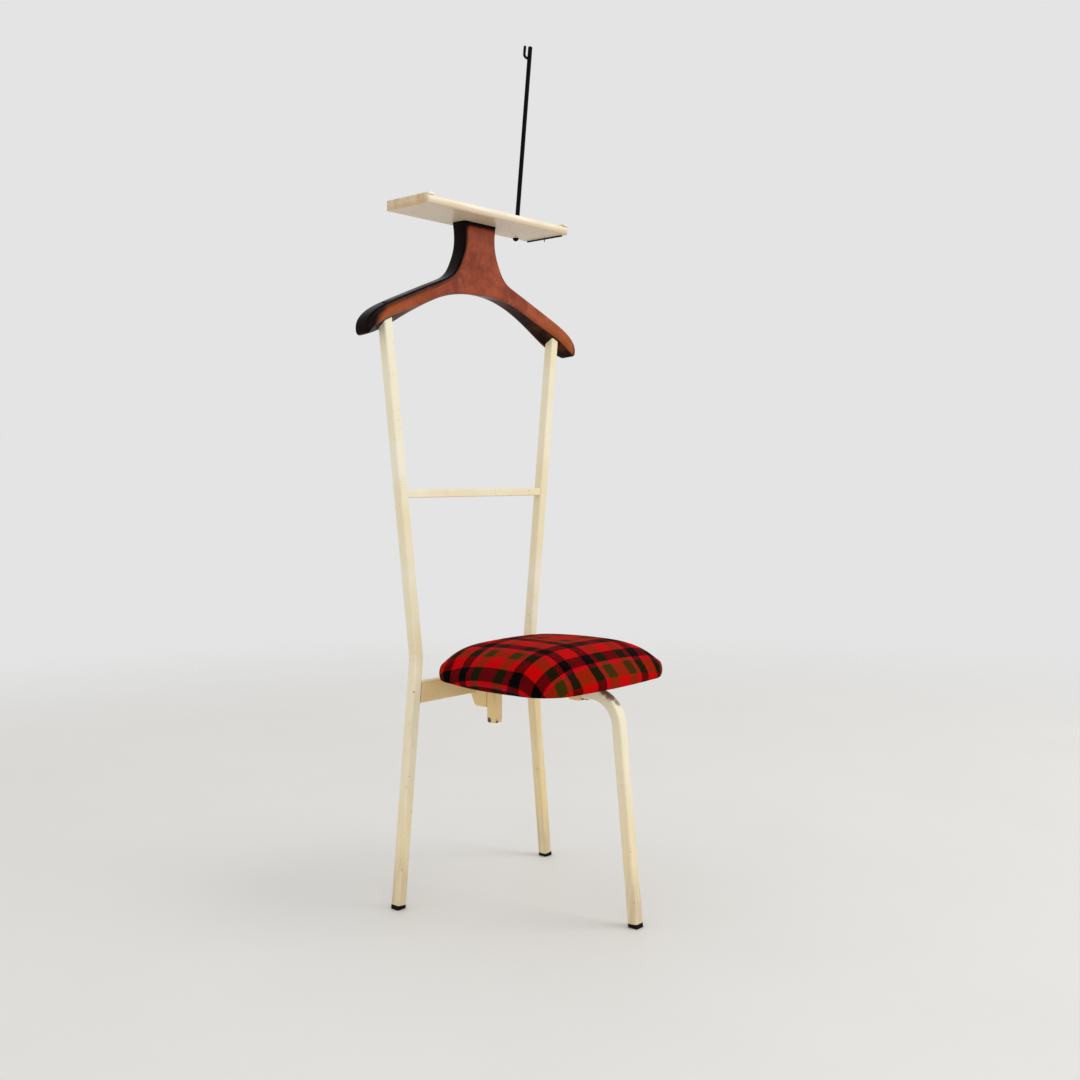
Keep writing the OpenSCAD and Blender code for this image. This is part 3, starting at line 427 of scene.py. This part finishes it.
# Darker yellow-brown enamel for the centre beam and rear seat rail: partly aged paint, partly painted
# shade from the seat above.
AGED_AND_SHADED = worn_enamel("cream_enamel_aged_and_shaded", rgb(226, 202, 152), rgb(214, 184, 124), rgb(196, 158, 96),
                   rgb(84, 54, 34), 0.67)
STAINED = worn_enamel("stained_enamel_worn", rgb(240, 212, 152), rgb(226, 190, 122), rgb(204, 160, 92),
                      rgb(46, 26, 14), 0.68, STAINED_MARKS, roughness=0.3)
MATERIALS = {
    "cream_enamel": CREAM,
    "stained_enamel": STAINED,
    "black_cap": plain_black("black_cap_satin", rgb(15, 15, 15), rgb(70, 66, 60), 60.0, 0.5, 0.4),
    "black_enamel": plain_black("black_enamel_gloss", rgb(4, 4, 4), rgb(30, 28, 26), 90.0, 0.45, 0.4),
    "bare_steel": steel("dull_steel"),
    "seat_board_wood": plywood("bare_plywood"),
    "tray_lacquer": lacquer("cream_lacquer"),
}
TARTAN = tartan("tartan_twill")
MAHOGANY = mahogany("mahogany_sunburst_painted_shade_and_highlight")
# The nodes that look unlike the rest of their slot.
FINISHES = {"centre_beam": AGED_AND_SHADED, "rear_seat_rail": AGED_AND_SHADED, "wire_peg": MATERIALS["black_enamel"]}
SLOT_OF = {row["node"]: row["material_slot"] for row in frame["record"]["subparts"]}
for node, obj in NODES.items():
    if SLOT_OF[node] in MATERIALS:
        for holder in obj.material_slots:
            holder.material = FINISHES.get(node, MATERIALS[SLOT_OF[node]])


# ---------- hanger ----------

def bezier(p, t):
    p = np.asarray(p, float)
    t = np.asarray(t, float)[:, None]
    return (1 - t) ** 3 * p[0] + 3 * t * (1 - t) ** 2 * p[1] + 3 * t * t * (1 - t) * p[2] + t ** 3 * p[3]


def run_of(p, n):
    return bezier(p, np.arange(n) / n)


NECK_CURVE = [[40.5, 0], [35.5, -22], [36, -42], [45, -62]]
SHOULDER_CURVE = [[45, -62], [54, -82], [60, -94], [82, -103]]
ARM_CURVE = [[82, -103], [104, -112], [188, -146], [212, -157]]
TIP_CURVE = [[212, -157], [236, -168], [258.5, -182], [258.5, -200]]
TIP_LOW = [258.5, -200]
TIP_DROP = [258.5, -207]
UNDER_FRONT = np.array([[[249, -207], [236, -191], [212, -177.5], [180, -167]],
                        [[180, -167], [92, -139.5], [96, -125], [0, -125]]], float)
UNDER_REAR = np.array([[[248, -213], [229, -210], [212, -204], [190, -192]],
                       [[190, -192], [146, -166], [86, -119.5], [0, -119.5]]], float)
HANGER_T = 31.5
HANGER_FRONT = REAR_Y - 16.5
HANGER_EDGE = 5.0
NECK_N, SHOULDER_N, ARM_N, TIP_N, TURN_N, LIFT_N = 14, 12, 14, 12, 8, 12
TOP_N = SHOULDER_N + ARM_N + TIP_N + TURN_N // 2
UNDER_N = TOP_N - TURN_N // 2 - LIFT_N
HALF_N = NECK_N + TOP_N + TURN_N // 2 + LIFT_N + UNDER_N + 1
LOOP_N = 2 * HALF_N - 1
ACROSS_N = 10
ROUND_N = 6


def hanger_outline(t):
    """The hanger's outline at depth share t, clockwise from the right end of the neck's top."""
    under = UNDER_FRONT * (1 - t) + UNDER_REAR * t
    turn = [TIP_LOW, TIP_DROP, under[0][0] * 1.5 - under[0][1] * 0.5, under[0][0]]
    right = np.concatenate([
        run_of(NECK_CURVE, NECK_N), run_of(SHOULDER_CURVE, SHOULDER_N), run_of(ARM_CURVE, ARM_N),
        run_of(TIP_CURVE, TIP_N), run_of(turn, TURN_N), run_of(under[0], LIFT_N),
        run_of(under[1], UNDER_N), under[1][3:4]])
    left = right[-2::-1] * (-1, 1)
    return np.concatenate([right, left])


def moved_in(line, step):
    way = np.roll(line, -1, 0) - np.roll(line, 1, 0)
    normal = np.stack([way[:, 1], -way[:, 0]], 1) / np.linalg.norm(way, axis=1)[:, None]
    normal[0] = (-1, 0)
    normal[-1] = (1, 0)
    return line + normal * step


def hanger_ring(k):
    """Ring k: the rounding turns a quarter circle at the front and again at the rear."""
    at_front = k <= ROUND_N
    a = math.pi / 2 * (k if at_front else 2 * ROUND_N + 1 - k) / ROUND_N
    deep = HANGER_EDGE * (1 - math.cos(a))
    y = deep if at_front else HANGER_T - deep
    line = moved_in(hanger_outline(y / HANGER_T), HANGER_EDGE * (1 - math.sin(a)))
    return np.column_stack([line[:, 0], np.full(LOOP_N, y), line[:, 1]])


def cap_strips():
    """Lines across the face as pairs of outline points: down the neck, then out along each arm."""
    last, mid = LOOP_N - 1, HALF_N - 1
    neck = [(i, last - i) for i in range(NECK_N + 1)]
    right = [(NECK_N + i, mid - i) for i in range(TOP_N + 1)]
    left = [(mid + i, last - NECK_N - i) for i in range(TOP_N + 1)]
    return neck, right, left


def build_hanger():
    rings = 2 * ROUND_N + 2
    points = [p for k in range(rings) for p in hanger_ring(k)]
    faces = []
    for k in range(rings - 1):
        for i in range(LOOP_N):
            a, b = k * LOOP_N + i, k * LOOP_N + (i + 1) % LOOP_N
            faces.append((a, b, b + LOOP_N, a + LOOP_N))

    def cap(base, flip):
        def line(a, b):
            """Points from outline point a to b, with the ends shared."""
            found = [base + a]
            for s in range(1, ACROSS_N):
                t = s / ACROSS_N
                points.append(points[base + a] * (1 - t) + points[base + b] * t)
                found.append(len(points) - 1)
            return found + [base + b]

        def fill(face):
            faces.append(tuple(reversed(face)) if flip else tuple(face))

        neck, right, left = cap_strips()
        rows = [line(a, b) for a, b in neck]
        for upper, lower in zip(rows, rows[1:]):
            for s in range(ACROSS_N):
                fill((upper[s], upper[s + 1], lower[s + 1], lower[s]))
        sides = []
        for strip in (right, left):
            cols = [line(a, b) for a, b in strip[:-1]]
            tip = base + strip[-1][0]
            for near, far in zip(cols, cols[1:]):
                for s in range(ACROSS_N):
                    fill((near[s], far[s], far[s + 1], near[s + 1]))
            for s in range(ACROSS_N):
                fill((cols[-1][s], tip, cols[-1][s + 1]))
            sides.append(cols[0])
        # the triangle between the neck's lowest row and the middle of the underside
        edge_r, edge_l = sides[0], sides[1][::-1]
        above = rows[-1]
        for k in range(1, ACROSS_N + 1):
            count = ACROSS_N - k
            if count == 0:
                below = [edge_r[-1]]
            else:
                start, end = points[edge_r[k]], points[edge_l[k]]
                below = [edge_r[k]]
                for s in range(1, count):
                    points.append(start + (end - start) * s / count)
                    below.append(len(points) - 1)
                below.append(edge_l[k])
            for s in range(len(above) - 1):
                fill((above[s], above[s + 1], below[min(s, count)]))
                if s < count:
                    fill((above[s + 1], below[s + 1], below[s]))
            above = below

    cap(0, False)
    cap((rings - 1) * LOOP_N, True)
    points = np.array(points)
    place = np.array([0, HANGER_FRONT, TRAY_Z])
    return mesh_object("hanger_shaped", (points + place) * MM, faces)


def bar_cutter(name, section, low, high, matrix):
    """A prism along Z of that outline, in mm, for cutting."""
    n = len(section)
    points = [Vector((x, y, z)) for z in (low, high) for x, y in section]
    faces = [tuple(range(n))[::-1], tuple(range(n, 2 * n))]
    faces += [(i, (i + 1) % n, (i + 1) % n + n, i + n) for i in range(n)]
    return mesh_object(name, [(matrix @ p) * MM for p in points], faces, False)


def circle(radius, n=32):
    turns = [2 * math.pi * i / n for i in range(n)]
    return [(radius * math.cos(a), radius * math.sin(a)) for a in turns]


def rounded_square(width, radius, n=6):
    found = []
    for q, (sx, sy) in enumerate(((1, 1), (-1, 1), (-1, -1), (1, -1))):
        for i in range(n + 1):
            a = math.pi / 2 * (q + i / n)
            found.append((sx * (width / 2 - radius) + radius * math.cos(a),
                          sy * (width / 2 - radius) + radius * math.sin(a)))
    return found


def cut(obj, cutters):
    for cutter in cutters:
        step = obj.modifiers.new("cut", "BOOLEAN")
        step.operation = "DIFFERENCE"
        step.solver = "EXACT"
        step.object = cutter
    bake(obj)
    for cutter in cutters:
        data = cutter.data
        bpy.data.objects.remove(cutter)
        bpy.data.meshes.remove(data)


def bake(obj):
    """Applies the object's modifiers to its mesh."""
    old = obj.data
    new = bpy.data.meshes.new_from_object(obj.evaluated_get(bpy.context.evaluated_depsgraph_get()))
    obj.modifiers.clear()
    obj.data = new
    new.name = old.name
    bpy.data.meshes.remove(old)


# The uprights' tops and cranks: half their distance and their height, in mm.
POST_HALF, POST_Z = 208.0, 964.0
KINK_HALF, KINK_Z = 141.5, 404.0
POST_LEAN = math.atan((POST_HALF - KINK_HALF) / (POST_Z - KINK_Z))
SOCKET_W, SOCKET_R = 18.2, 3.0
SCREW_R = 1.9
HEAD_R = 3.8
HEAD_SEAT = 14.0
# The faces' colour ends SIDE_START mm round each edge and is gone SIDE_FADE mm further.
SIDE_START, SIDE_FADE = 1.5, 4.5
# The upper edge darkens up to this many outline points before the turn under the tip.
UPPER_LESS = 8


def post_end(side):
    mirror = Matrix.Scale(-1, 4, (1, 0, 0)) if side < 0 else Matrix.Identity(4)
    return mirror @ Matrix.Translation((POST_HALF, REAR_Y, POST_Z)) @ Matrix.Rotation(POST_LEAN, 4, "Y")


def distance_to(line, points):
    """How far each point is from an open line, with both in a plane."""
    best = np.full(len(points), 1e9)
    for start, end in zip(line, line[1:]):
        way = end - start
        t = np.clip(((points - start) @ way) / max(way @ way, 1e-12), 0, 1)
        best = np.minimum(best, np.linalg.norm(points - (start + t[:, None] * way), axis=1))
    return best


ARM_WAY = (0.905, -0.425)
ARM_TOP = 100
ARM_START = 120


def hanger_grain(x, z):
    """The wood's grain: the path along neck and arm and the distance across it, in mm."""
    side = np.abs(x)
    along = side * ARM_WAY[0] + (z + ARM_TOP) * ARM_WAY[1]
    across = side * -ARM_WAY[1] + (z + ARM_TOP) * ARM_WAY[0]
    turn = np.clip((-z - 40) / 75, 0, 1)
    turn = turn * turn * (3 - 2 * turn)
    return np.stack([(-z) * (1 - turn) + (along + ARM_START) * turn, x * (1 - turn) + across * turn], 1)


def hanger_burst_and_shade(co):
    """1 in the middle of a face, 0 where the stain is near black, and lowered for painted shade along
    the left arm's top and at the left tip and for a painted shadow under the tray. Points in mm from the
    neck's top.
    """
    x, y, z = co.T
    upper = hanger_outline(0.0)[:NECK_N + TOP_N - UPPER_LESS]
    below_top = distance_to(upper, np.column_stack([np.abs(x), z]))
    front = np.clip(1 - (y - SIDE_START) / SIDE_FADE, 0, 1)
    rear = np.clip(1 - (HANGER_T - y - SIDE_START) / SIDE_FADE, 0, 1)
    # Painted shade: the top edge darkens much more on the left side than on the right, and over a wider
    # band along the left arm.
    left = np.clip((-x - 5) / 15, 0, 1)
    left_arm_shade = np.clip((-x - 50) / 60, 0, 1)
    soft_top = np.clip((below_top - 1.0) / (10.0 + 9.0 * left_arm_shade), 0, 1)
    burst_and_shade = np.maximum(front, rear * 0.8) * (1 - (1 - soft_top) * (0.25 + 0.7 * left))
    burst_and_shade *= 1 - np.clip((np.abs(x) - 238) / 18, 0, 1) * 0.85  # both tips
    # Painted shade: the left tip darkens further in than the right tip.
    burst_and_shade *= 1 - np.clip((-x - 212) / 34, 0, 1) * 0.9  # the left tip, further in
    # Painted shadow: the neck's top darkens just under the tray.
    burst_and_shade *= 1 - np.clip(1.25 + z / 14, 0, 1) * 0.95  # under the tray
    return burst_and_shade


hanger = build_hanger()
cutters = []
for side in (-1, 1):
    at = post_end(side)
    cutters.append(bar_cutter("socket", rounded_square(SOCKET_W, SOCKET_R), -60, 0, at))
    cutters.append(bar_cutter("bore", circle(SCREW_R), -1, 40, at))
    cutters.append(bar_cutter("recess", circle(HEAD_R), HEAD_SEAT, 60, at))
cut(hanger, cutters)
co = points_of(hanger.data) / MM - (0, HANGER_FRONT, TRAY_Z)
burst_and_shade = hanger_burst_and_shade(co)
tip = np.clip((np.abs(co[:, 0]) - 90) / 130, 0, 1)
store(hanger.data, "burst_and_shade", np.column_stack([burst_and_shade, tip, np.zeros(len(co))]))
store(hanger.data, "grain", np.column_stack([hanger_grain(co[:, 0], co[:, 2]), co[:, 1]]) * MM)
hanger.data.materials.append(MAHOGANY)
hanger.data.polygons.foreach_set("use_smooth", [True] * len(hanger.data.polygons))
hanger.data.set_sharp_from_angle(angle=math.radians(35))
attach(hanger, "chair")
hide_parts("hanger")


# ---------- seat cushion ----------

SEAT_FRONT, SEAT_REAR = -312.5, -20.8
SEAT_CORNERS = np.array([[-172, SEAT_FRONT], [172, SEAT_FRONT], [143, SEAT_REAR], [-143, SEAT_REAR]])
SEAT_CORNER_R = 65.0
SEAT_BOW = (6.0, 9.0)
SEAT_MIDDLE = np.array([0, (SEAT_FRONT + SEAT_REAR) / 2 + 8])
SEAT_Z = 370.6
SEAT_SIDE = 27.6
SEAT_CROWN = 34.9
SEAT_FULLNESS = 4.5
POCKET = 8.7
POCKET_TOP = 377.6
CORNER_STEPS, EDGE_STEPS = 18, 26
# The cover starts SLACK mm inside its shape and may swell by MOST_MOVE mm.
SLACK = 1.0
MOST_MOVE = 3.2
SIM_FRAMES = 20
SIM_SETTINGS = {"quality": 6, "mass": 0.3, "tension_stiffness": 20, "compression_stiffness": 20,
                "bending_stiffness": 4, "use_pressure": True, "uniform_pressure_force": 4.0,
                "vertex_group_mass": "held"}


def unit(v):
    return v / np.linalg.norm(v)


def seat_outline():
    def arc(k):
        p = SEAT_CORNERS[k % 4]
        a, b = unit(SEAT_CORNERS[(k + 3) % 4] - p), unit(SEAT_CORNERS[(k + 1) % 4] - p)
        half = math.acos(a @ b) / 2
        return (p + unit(a + b) * SEAT_CORNER_R / math.sin(half),
                p + a * SEAT_CORNER_R / math.tan(half), p + b * SEAT_CORNER_R / math.tan(half))

    line = []
    for k in range(4):
        centre, first, second = arc(k)
        u, v = first - centre, second - centre
        turn = math.acos(u @ v / np.linalg.norm(u) / np.linalg.norm(v))
        for i in range(CORNER_STEPS):
            s = turn * i / CORNER_STEPS
            line.append(centre + (u[0] * math.cos(s) - u[1] * math.sin(s),
                                  u[0] * math.sin(s) + u[1] * math.cos(s)))
        end = arc(k + 1)[1]
        way = end - second
        out = unit(np.array([way[1], -way[0]])) * SEAT_BOW[k % 2]
        for i in range(EDGE_STEPS):
            s = i / EDGE_STEPS
            line.append(second + way * s + out * 4 * s * (1 - s))
    return np.array(line)


def smooth_run(rows, steps):
    """Points on a curve through every row."""
    rows = np.asarray(rows, float)
    ends = np.vstack([2 * rows[0] - rows[1], rows, 2 * rows[-1] - rows[-2]])
    found = []
    for a, b, c, d in zip(ends, ends[1:], ends[2:], ends[3:]):
        for i in range(steps):
            t = i / steps
            found.append(0.5 * (2 * b + (c - a) * t + (2 * a - 5 * b + 4 * c - d) * t ** 2
                                + (3 * b - a - 3 * c + d) * t ** 3))
    return np.array(found + [rows[-1]])


def seat_levels():
    """From the crown down the side and under into the pocket, as step in, share out and height."""
    top = SEAT_Z + SEAT_SIDE
    crown = [(0, 0.95 * s, top + SEAT_CROWN * (1 - s ** SEAT_FULLNESS))
             for s in (0.06, 0.16, 0.28, 0.4, 0.52, 0.63, 0.72, 0.79, 0.85, 0.9, 0.94, 0.97, 0.99)]
    side = smooth_run([(0, 0.95, top), (3.5, 1, top - 4.1), (1.2, 1, top - 9.1), (0, 1, top - 15.6),
                       (0.6, 1, top - 22.1), (2.5, 1, top - 26.8), (6, 1, top - 28.4),
                       (POCKET, 1, top - 27)], 2)
    pocket = [(step, 1, POCKET_TOP) for step in (POCKET, POCKET + 14, 60)]
    return np.concatenate([crown, side, pocket])


def seat_rings(line, levels):
    reach = line - SEAT_MIDDLE
    far = np.linalg.norm(reach, axis=1)[:, None]
    rings = [np.column_stack([SEAT_MIDDLE + reach * share * (1 - step / far), np.full(len(line), z)])
             for step, share, z in levels]
    return np.array(rings)


def build_cushion():
    line = seat_outline()
    levels = seat_levels()
    rings = seat_rings(line, levels)
    n = len(line)
    count = len(levels)
    crown_top = np.array([*SEAT_MIDDLE, SEAT_Z + SEAT_SIDE + SEAT_CROWN])
    pocket_mid = np.array([*SEAT_MIDDLE, POCKET_TOP])
    points = np.concatenate([rings.reshape(-1, 3), [crown_top, pocket_mid]])
    faces = []
    for k in range(count - 1):
        for i in range(n):
            a, b = k * n + i, k * n + (i + 1) % n
            faces.append((a, a + n, b + n, b))
    for i in range(n):
        faces.append((i, (i + 1) % n, count * n))
        faces.append(((count - 1) * n + (i + 1) % n, (count - 1) * n + i, count * n + 1))
    # Where each point lies on the flat cloth: pulled straight down over the sides.
    way = np.roll(line, -1, 0) - np.roll(line, 1, 0)
    out = np.stack([way[:, 1], -way[:, 0]], 1) / np.linalg.norm(way, axis=1)[:, None]
    whole = np.concatenate([np.broadcast_to(crown_top, (1, n, 3)), rings])
    run = np.cumsum(np.linalg.norm(np.diff(whole, axis=0), axis=2), axis=0)
    flat = np.linalg.norm(rings[:, :, :2] - SEAT_MIDDLE, axis=2)
    cloth = rings[:, :, :2] + out[None] * (run - flat)[:, :, None]
    cloth = np.concatenate([cloth.reshape(-1, 2), [SEAT_MIDDLE, SEAT_MIDDLE]])
    points = points + (0, REAR_Y, 0)
    obj = mesh_object("seat_cushion_cloth", points * MM, faces)
    store(obj.data, "cloth", np.column_stack([cloth, np.zeros(len(cloth))]) * MM)
    held_rings = (levels[:, 2] < SEAT_Z + 0.4) | (np.arange(count) >= count - 4)
    held = np.concatenate([np.repeat(held_rings, n), [False, True]])
    return obj, held


def inflate(obj, held):
    """Lets pressure fill the cover, with its lower rim held, and keeps every move within the cap."""
    mesh = obj.data
    rest = points_of(mesh)
    normals = np.empty(len(rest) * 3)
    mesh.vertices.foreach_get("normal", normals)
    start = rest - normals.reshape(-1, 3) * (SLACK * MM) * (~held)[:, None]
    mesh.vertices.foreach_set("co", start.ravel())
    mesh.update()
    group = obj.vertex_groups.new(name="held")
    group.add([int(i) for i in held.nonzero()[0]], 1.0, "REPLACE")
    cloth = obj.modifiers.new("cloth", "CLOTH")
    for key, value in SIM_SETTINGS.items():
        setattr(cloth.settings, key, value)
    cloth.settings.effector_weights.gravity = 0
    cloth.point_cache.frame_end = SIM_FRAMES
    for step in range(1, SIM_FRAMES + 1):
        SCENE.frame_set(step)
    found = points_of(obj.evaluated_get(bpy.context.evaluated_depsgraph_get()).data)
    obj.modifiers.clear()
    obj.vertex_groups.clear()
    SCENE.frame_set(1)
    move = found - start
    length = np.linalg.norm(move, axis=1)[:, None]
    move *= np.minimum(1, MOST_MOVE * MM / np.maximum(length, 1e-9))
    mesh.vertices.foreach_set("co", (start + move).ravel())
    mesh.update()


cushion, held = build_cushion()
inflate(cushion, held)
cushion.modifiers.new("smooth", "SUBSURF").levels = 1
bake(cushion)
cushion.data.polygons.foreach_set("use_smooth", [True] * len(cushion.data.polygons))
cushion.data.materials.append(TARTAN)
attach(cushion, "chair")
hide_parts("seat_cushion")


# ---------- floor, light and camera ----------

FLOOR_FADE = (1.5, 3.6)  # where the floor starts and ends to fade out, m from the middle


def pale_floor():
    """A round pale floor that fades out into the background, and keeps the object's shadow."""
    radius, rings, spokes = 5.0, 12, 64
    points = [(0, 0, 0)]
    for k in range(1, rings + 1):
        for i in range(spokes):
            a = 2 * math.pi * i / spokes
            points.append((radius * k / rings * math.cos(a), radius * k / rings * math.sin(a), 0))
    faces = [(0, 1 + i, 1 + (i + 1) % spokes) for i in range(spokes)]
    for k in range(rings - 1):
        for i in range(spokes):
            a, b = 1 + k * spokes + i, 1 + k * spokes + (i + 1) % spokes
            faces.append((a, a + spokes, b + spokes, b))
    floor = mesh_object("floor", points, faces)
    s = Shader("floor_pale", Specular_IOR_Level=0.25)
    cloud = s.noise(s.where, 2.5, 4.0, 0.6)
    colour = s.mix(cloud, rgb(227, 226, 224), rgb(221, 220, 217))
    s.finish(colour, 0.55)
    clear = s.add("ShaderNodeBsdfTransparent")
    blend = s.add("ShaderNodeMixShader")
    s.plug(blend.inputs[0], s.fade(s.vector("LENGTH", s.where), *FLOOR_FADE))
    s.plug(blend.inputs[1], s.surface.outputs[0])
    s.plug(blend.inputs[2], clear.outputs[0])
    s.plug(s.output.inputs["Surface"], blend.outputs[0])
    floor.data.materials.append(s.material)


WORLD_STRENGTH = 0.84
BACKGROUND = rgb(228, 228, 228)


def studio_world():
    """Soft even light; the camera, gloss and glass see the pale background."""
    world = bpy.data.worlds.new("studio")
    world.use_nodes = True
    SCENE.world = world
    tree = world.node_tree
    tree.nodes.clear()
    output = tree.nodes.new("ShaderNodeOutputWorld")
    light = tree.nodes.new("ShaderNodeBackground")
    light.inputs["Color"].default_value = (*SOFT_WHITE, 1.0)
    light.inputs["Strength"].default_value = WORLD_STRENGTH
    shown = tree.nodes.new("ShaderNodeBackground")
    shown.inputs["Color"].default_value = BACKGROUND
    shown.inputs["Strength"].default_value = 1.0
    path = tree.nodes.new("ShaderNodeLightPath")
    seen = path.outputs["Is Camera Ray"]
    for ray in ("Is Glossy Ray", "Is Transmission Ray"):
        either = tree.nodes.new("ShaderNodeMath")
        either.operation = "MAXIMUM"
        tree.links.new(seen, either.inputs[0])
        tree.links.new(path.outputs[ray], either.inputs[1])
        seen = either.outputs[0]
    mix = tree.nodes.new("ShaderNodeMixShader")
    tree.links.new(seen, mix.inputs[0])
    tree.links.new(light.outputs[0], mix.inputs[1])
    tree.links.new(shown.outputs[0], mix.inputs[2])
    tree.links.new(mix.outputs[0], output.inputs["Surface"])


def softbox(name, place, aim, power):
    lamp = bpy.data.lights.new(name, "AREA")
    lamp.shape = "RECTANGLE"
    lamp.size = lamp.size_y = LAMP_SIZE
    lamp.energy = power
    lamp.color = SOFT_WHITE
    obj = add_object(name, lamp)
    way = Vector(aim) - Vector(place)
    obj.matrix_world = Matrix.Translation(place) @ way.to_track_quat("-Z", "Y").to_matrix().to_4x4()


# The photograph's camera: place in m, turns in degrees, lens in mm and vertical shift.
EYE = (-1.5208, -1.3100, 0.700)
HEADING, PITCH, ROLL = -49.04, -0.34, -0.21
LENS, SHIFT = 40.46, -0.0507


def photo_camera():
    data = bpy.data.cameras.new("photo_camera")
    data.sensor_width = 36.0
    data.lens = LENS
    data.shift_y = SHIFT
    data.clip_start, data.clip_end = 0.05, 60
    camera = add_object("photo_camera", data)
    camera.matrix_world = (Matrix.Translation(EYE)
                           @ Matrix.Rotation(math.radians(HEADING), 4, "Z")
                           @ Matrix.Rotation(math.radians(90 + PITCH), 4, "X")
                           @ Matrix.Rotation(math.radians(ROLL), 4, "Z"))
    SCENE.camera = camera


# The lamps, each as name, place, what it points at, and power in W.
LAMPS = [("key", (1.95, -3.4, 3.5), (0, 0, 0.75), 70), ("fill", (-2.9, -3.2, 1.4), (0, 0, 0.4), 22)]
LAMP_SIZE = 2.4

pale_floor()
studio_world()
for lamp_row in LAMPS:
    softbox(*lamp_row)
photo_camera()
SCENE.view_settings.view_transform = "Standard"
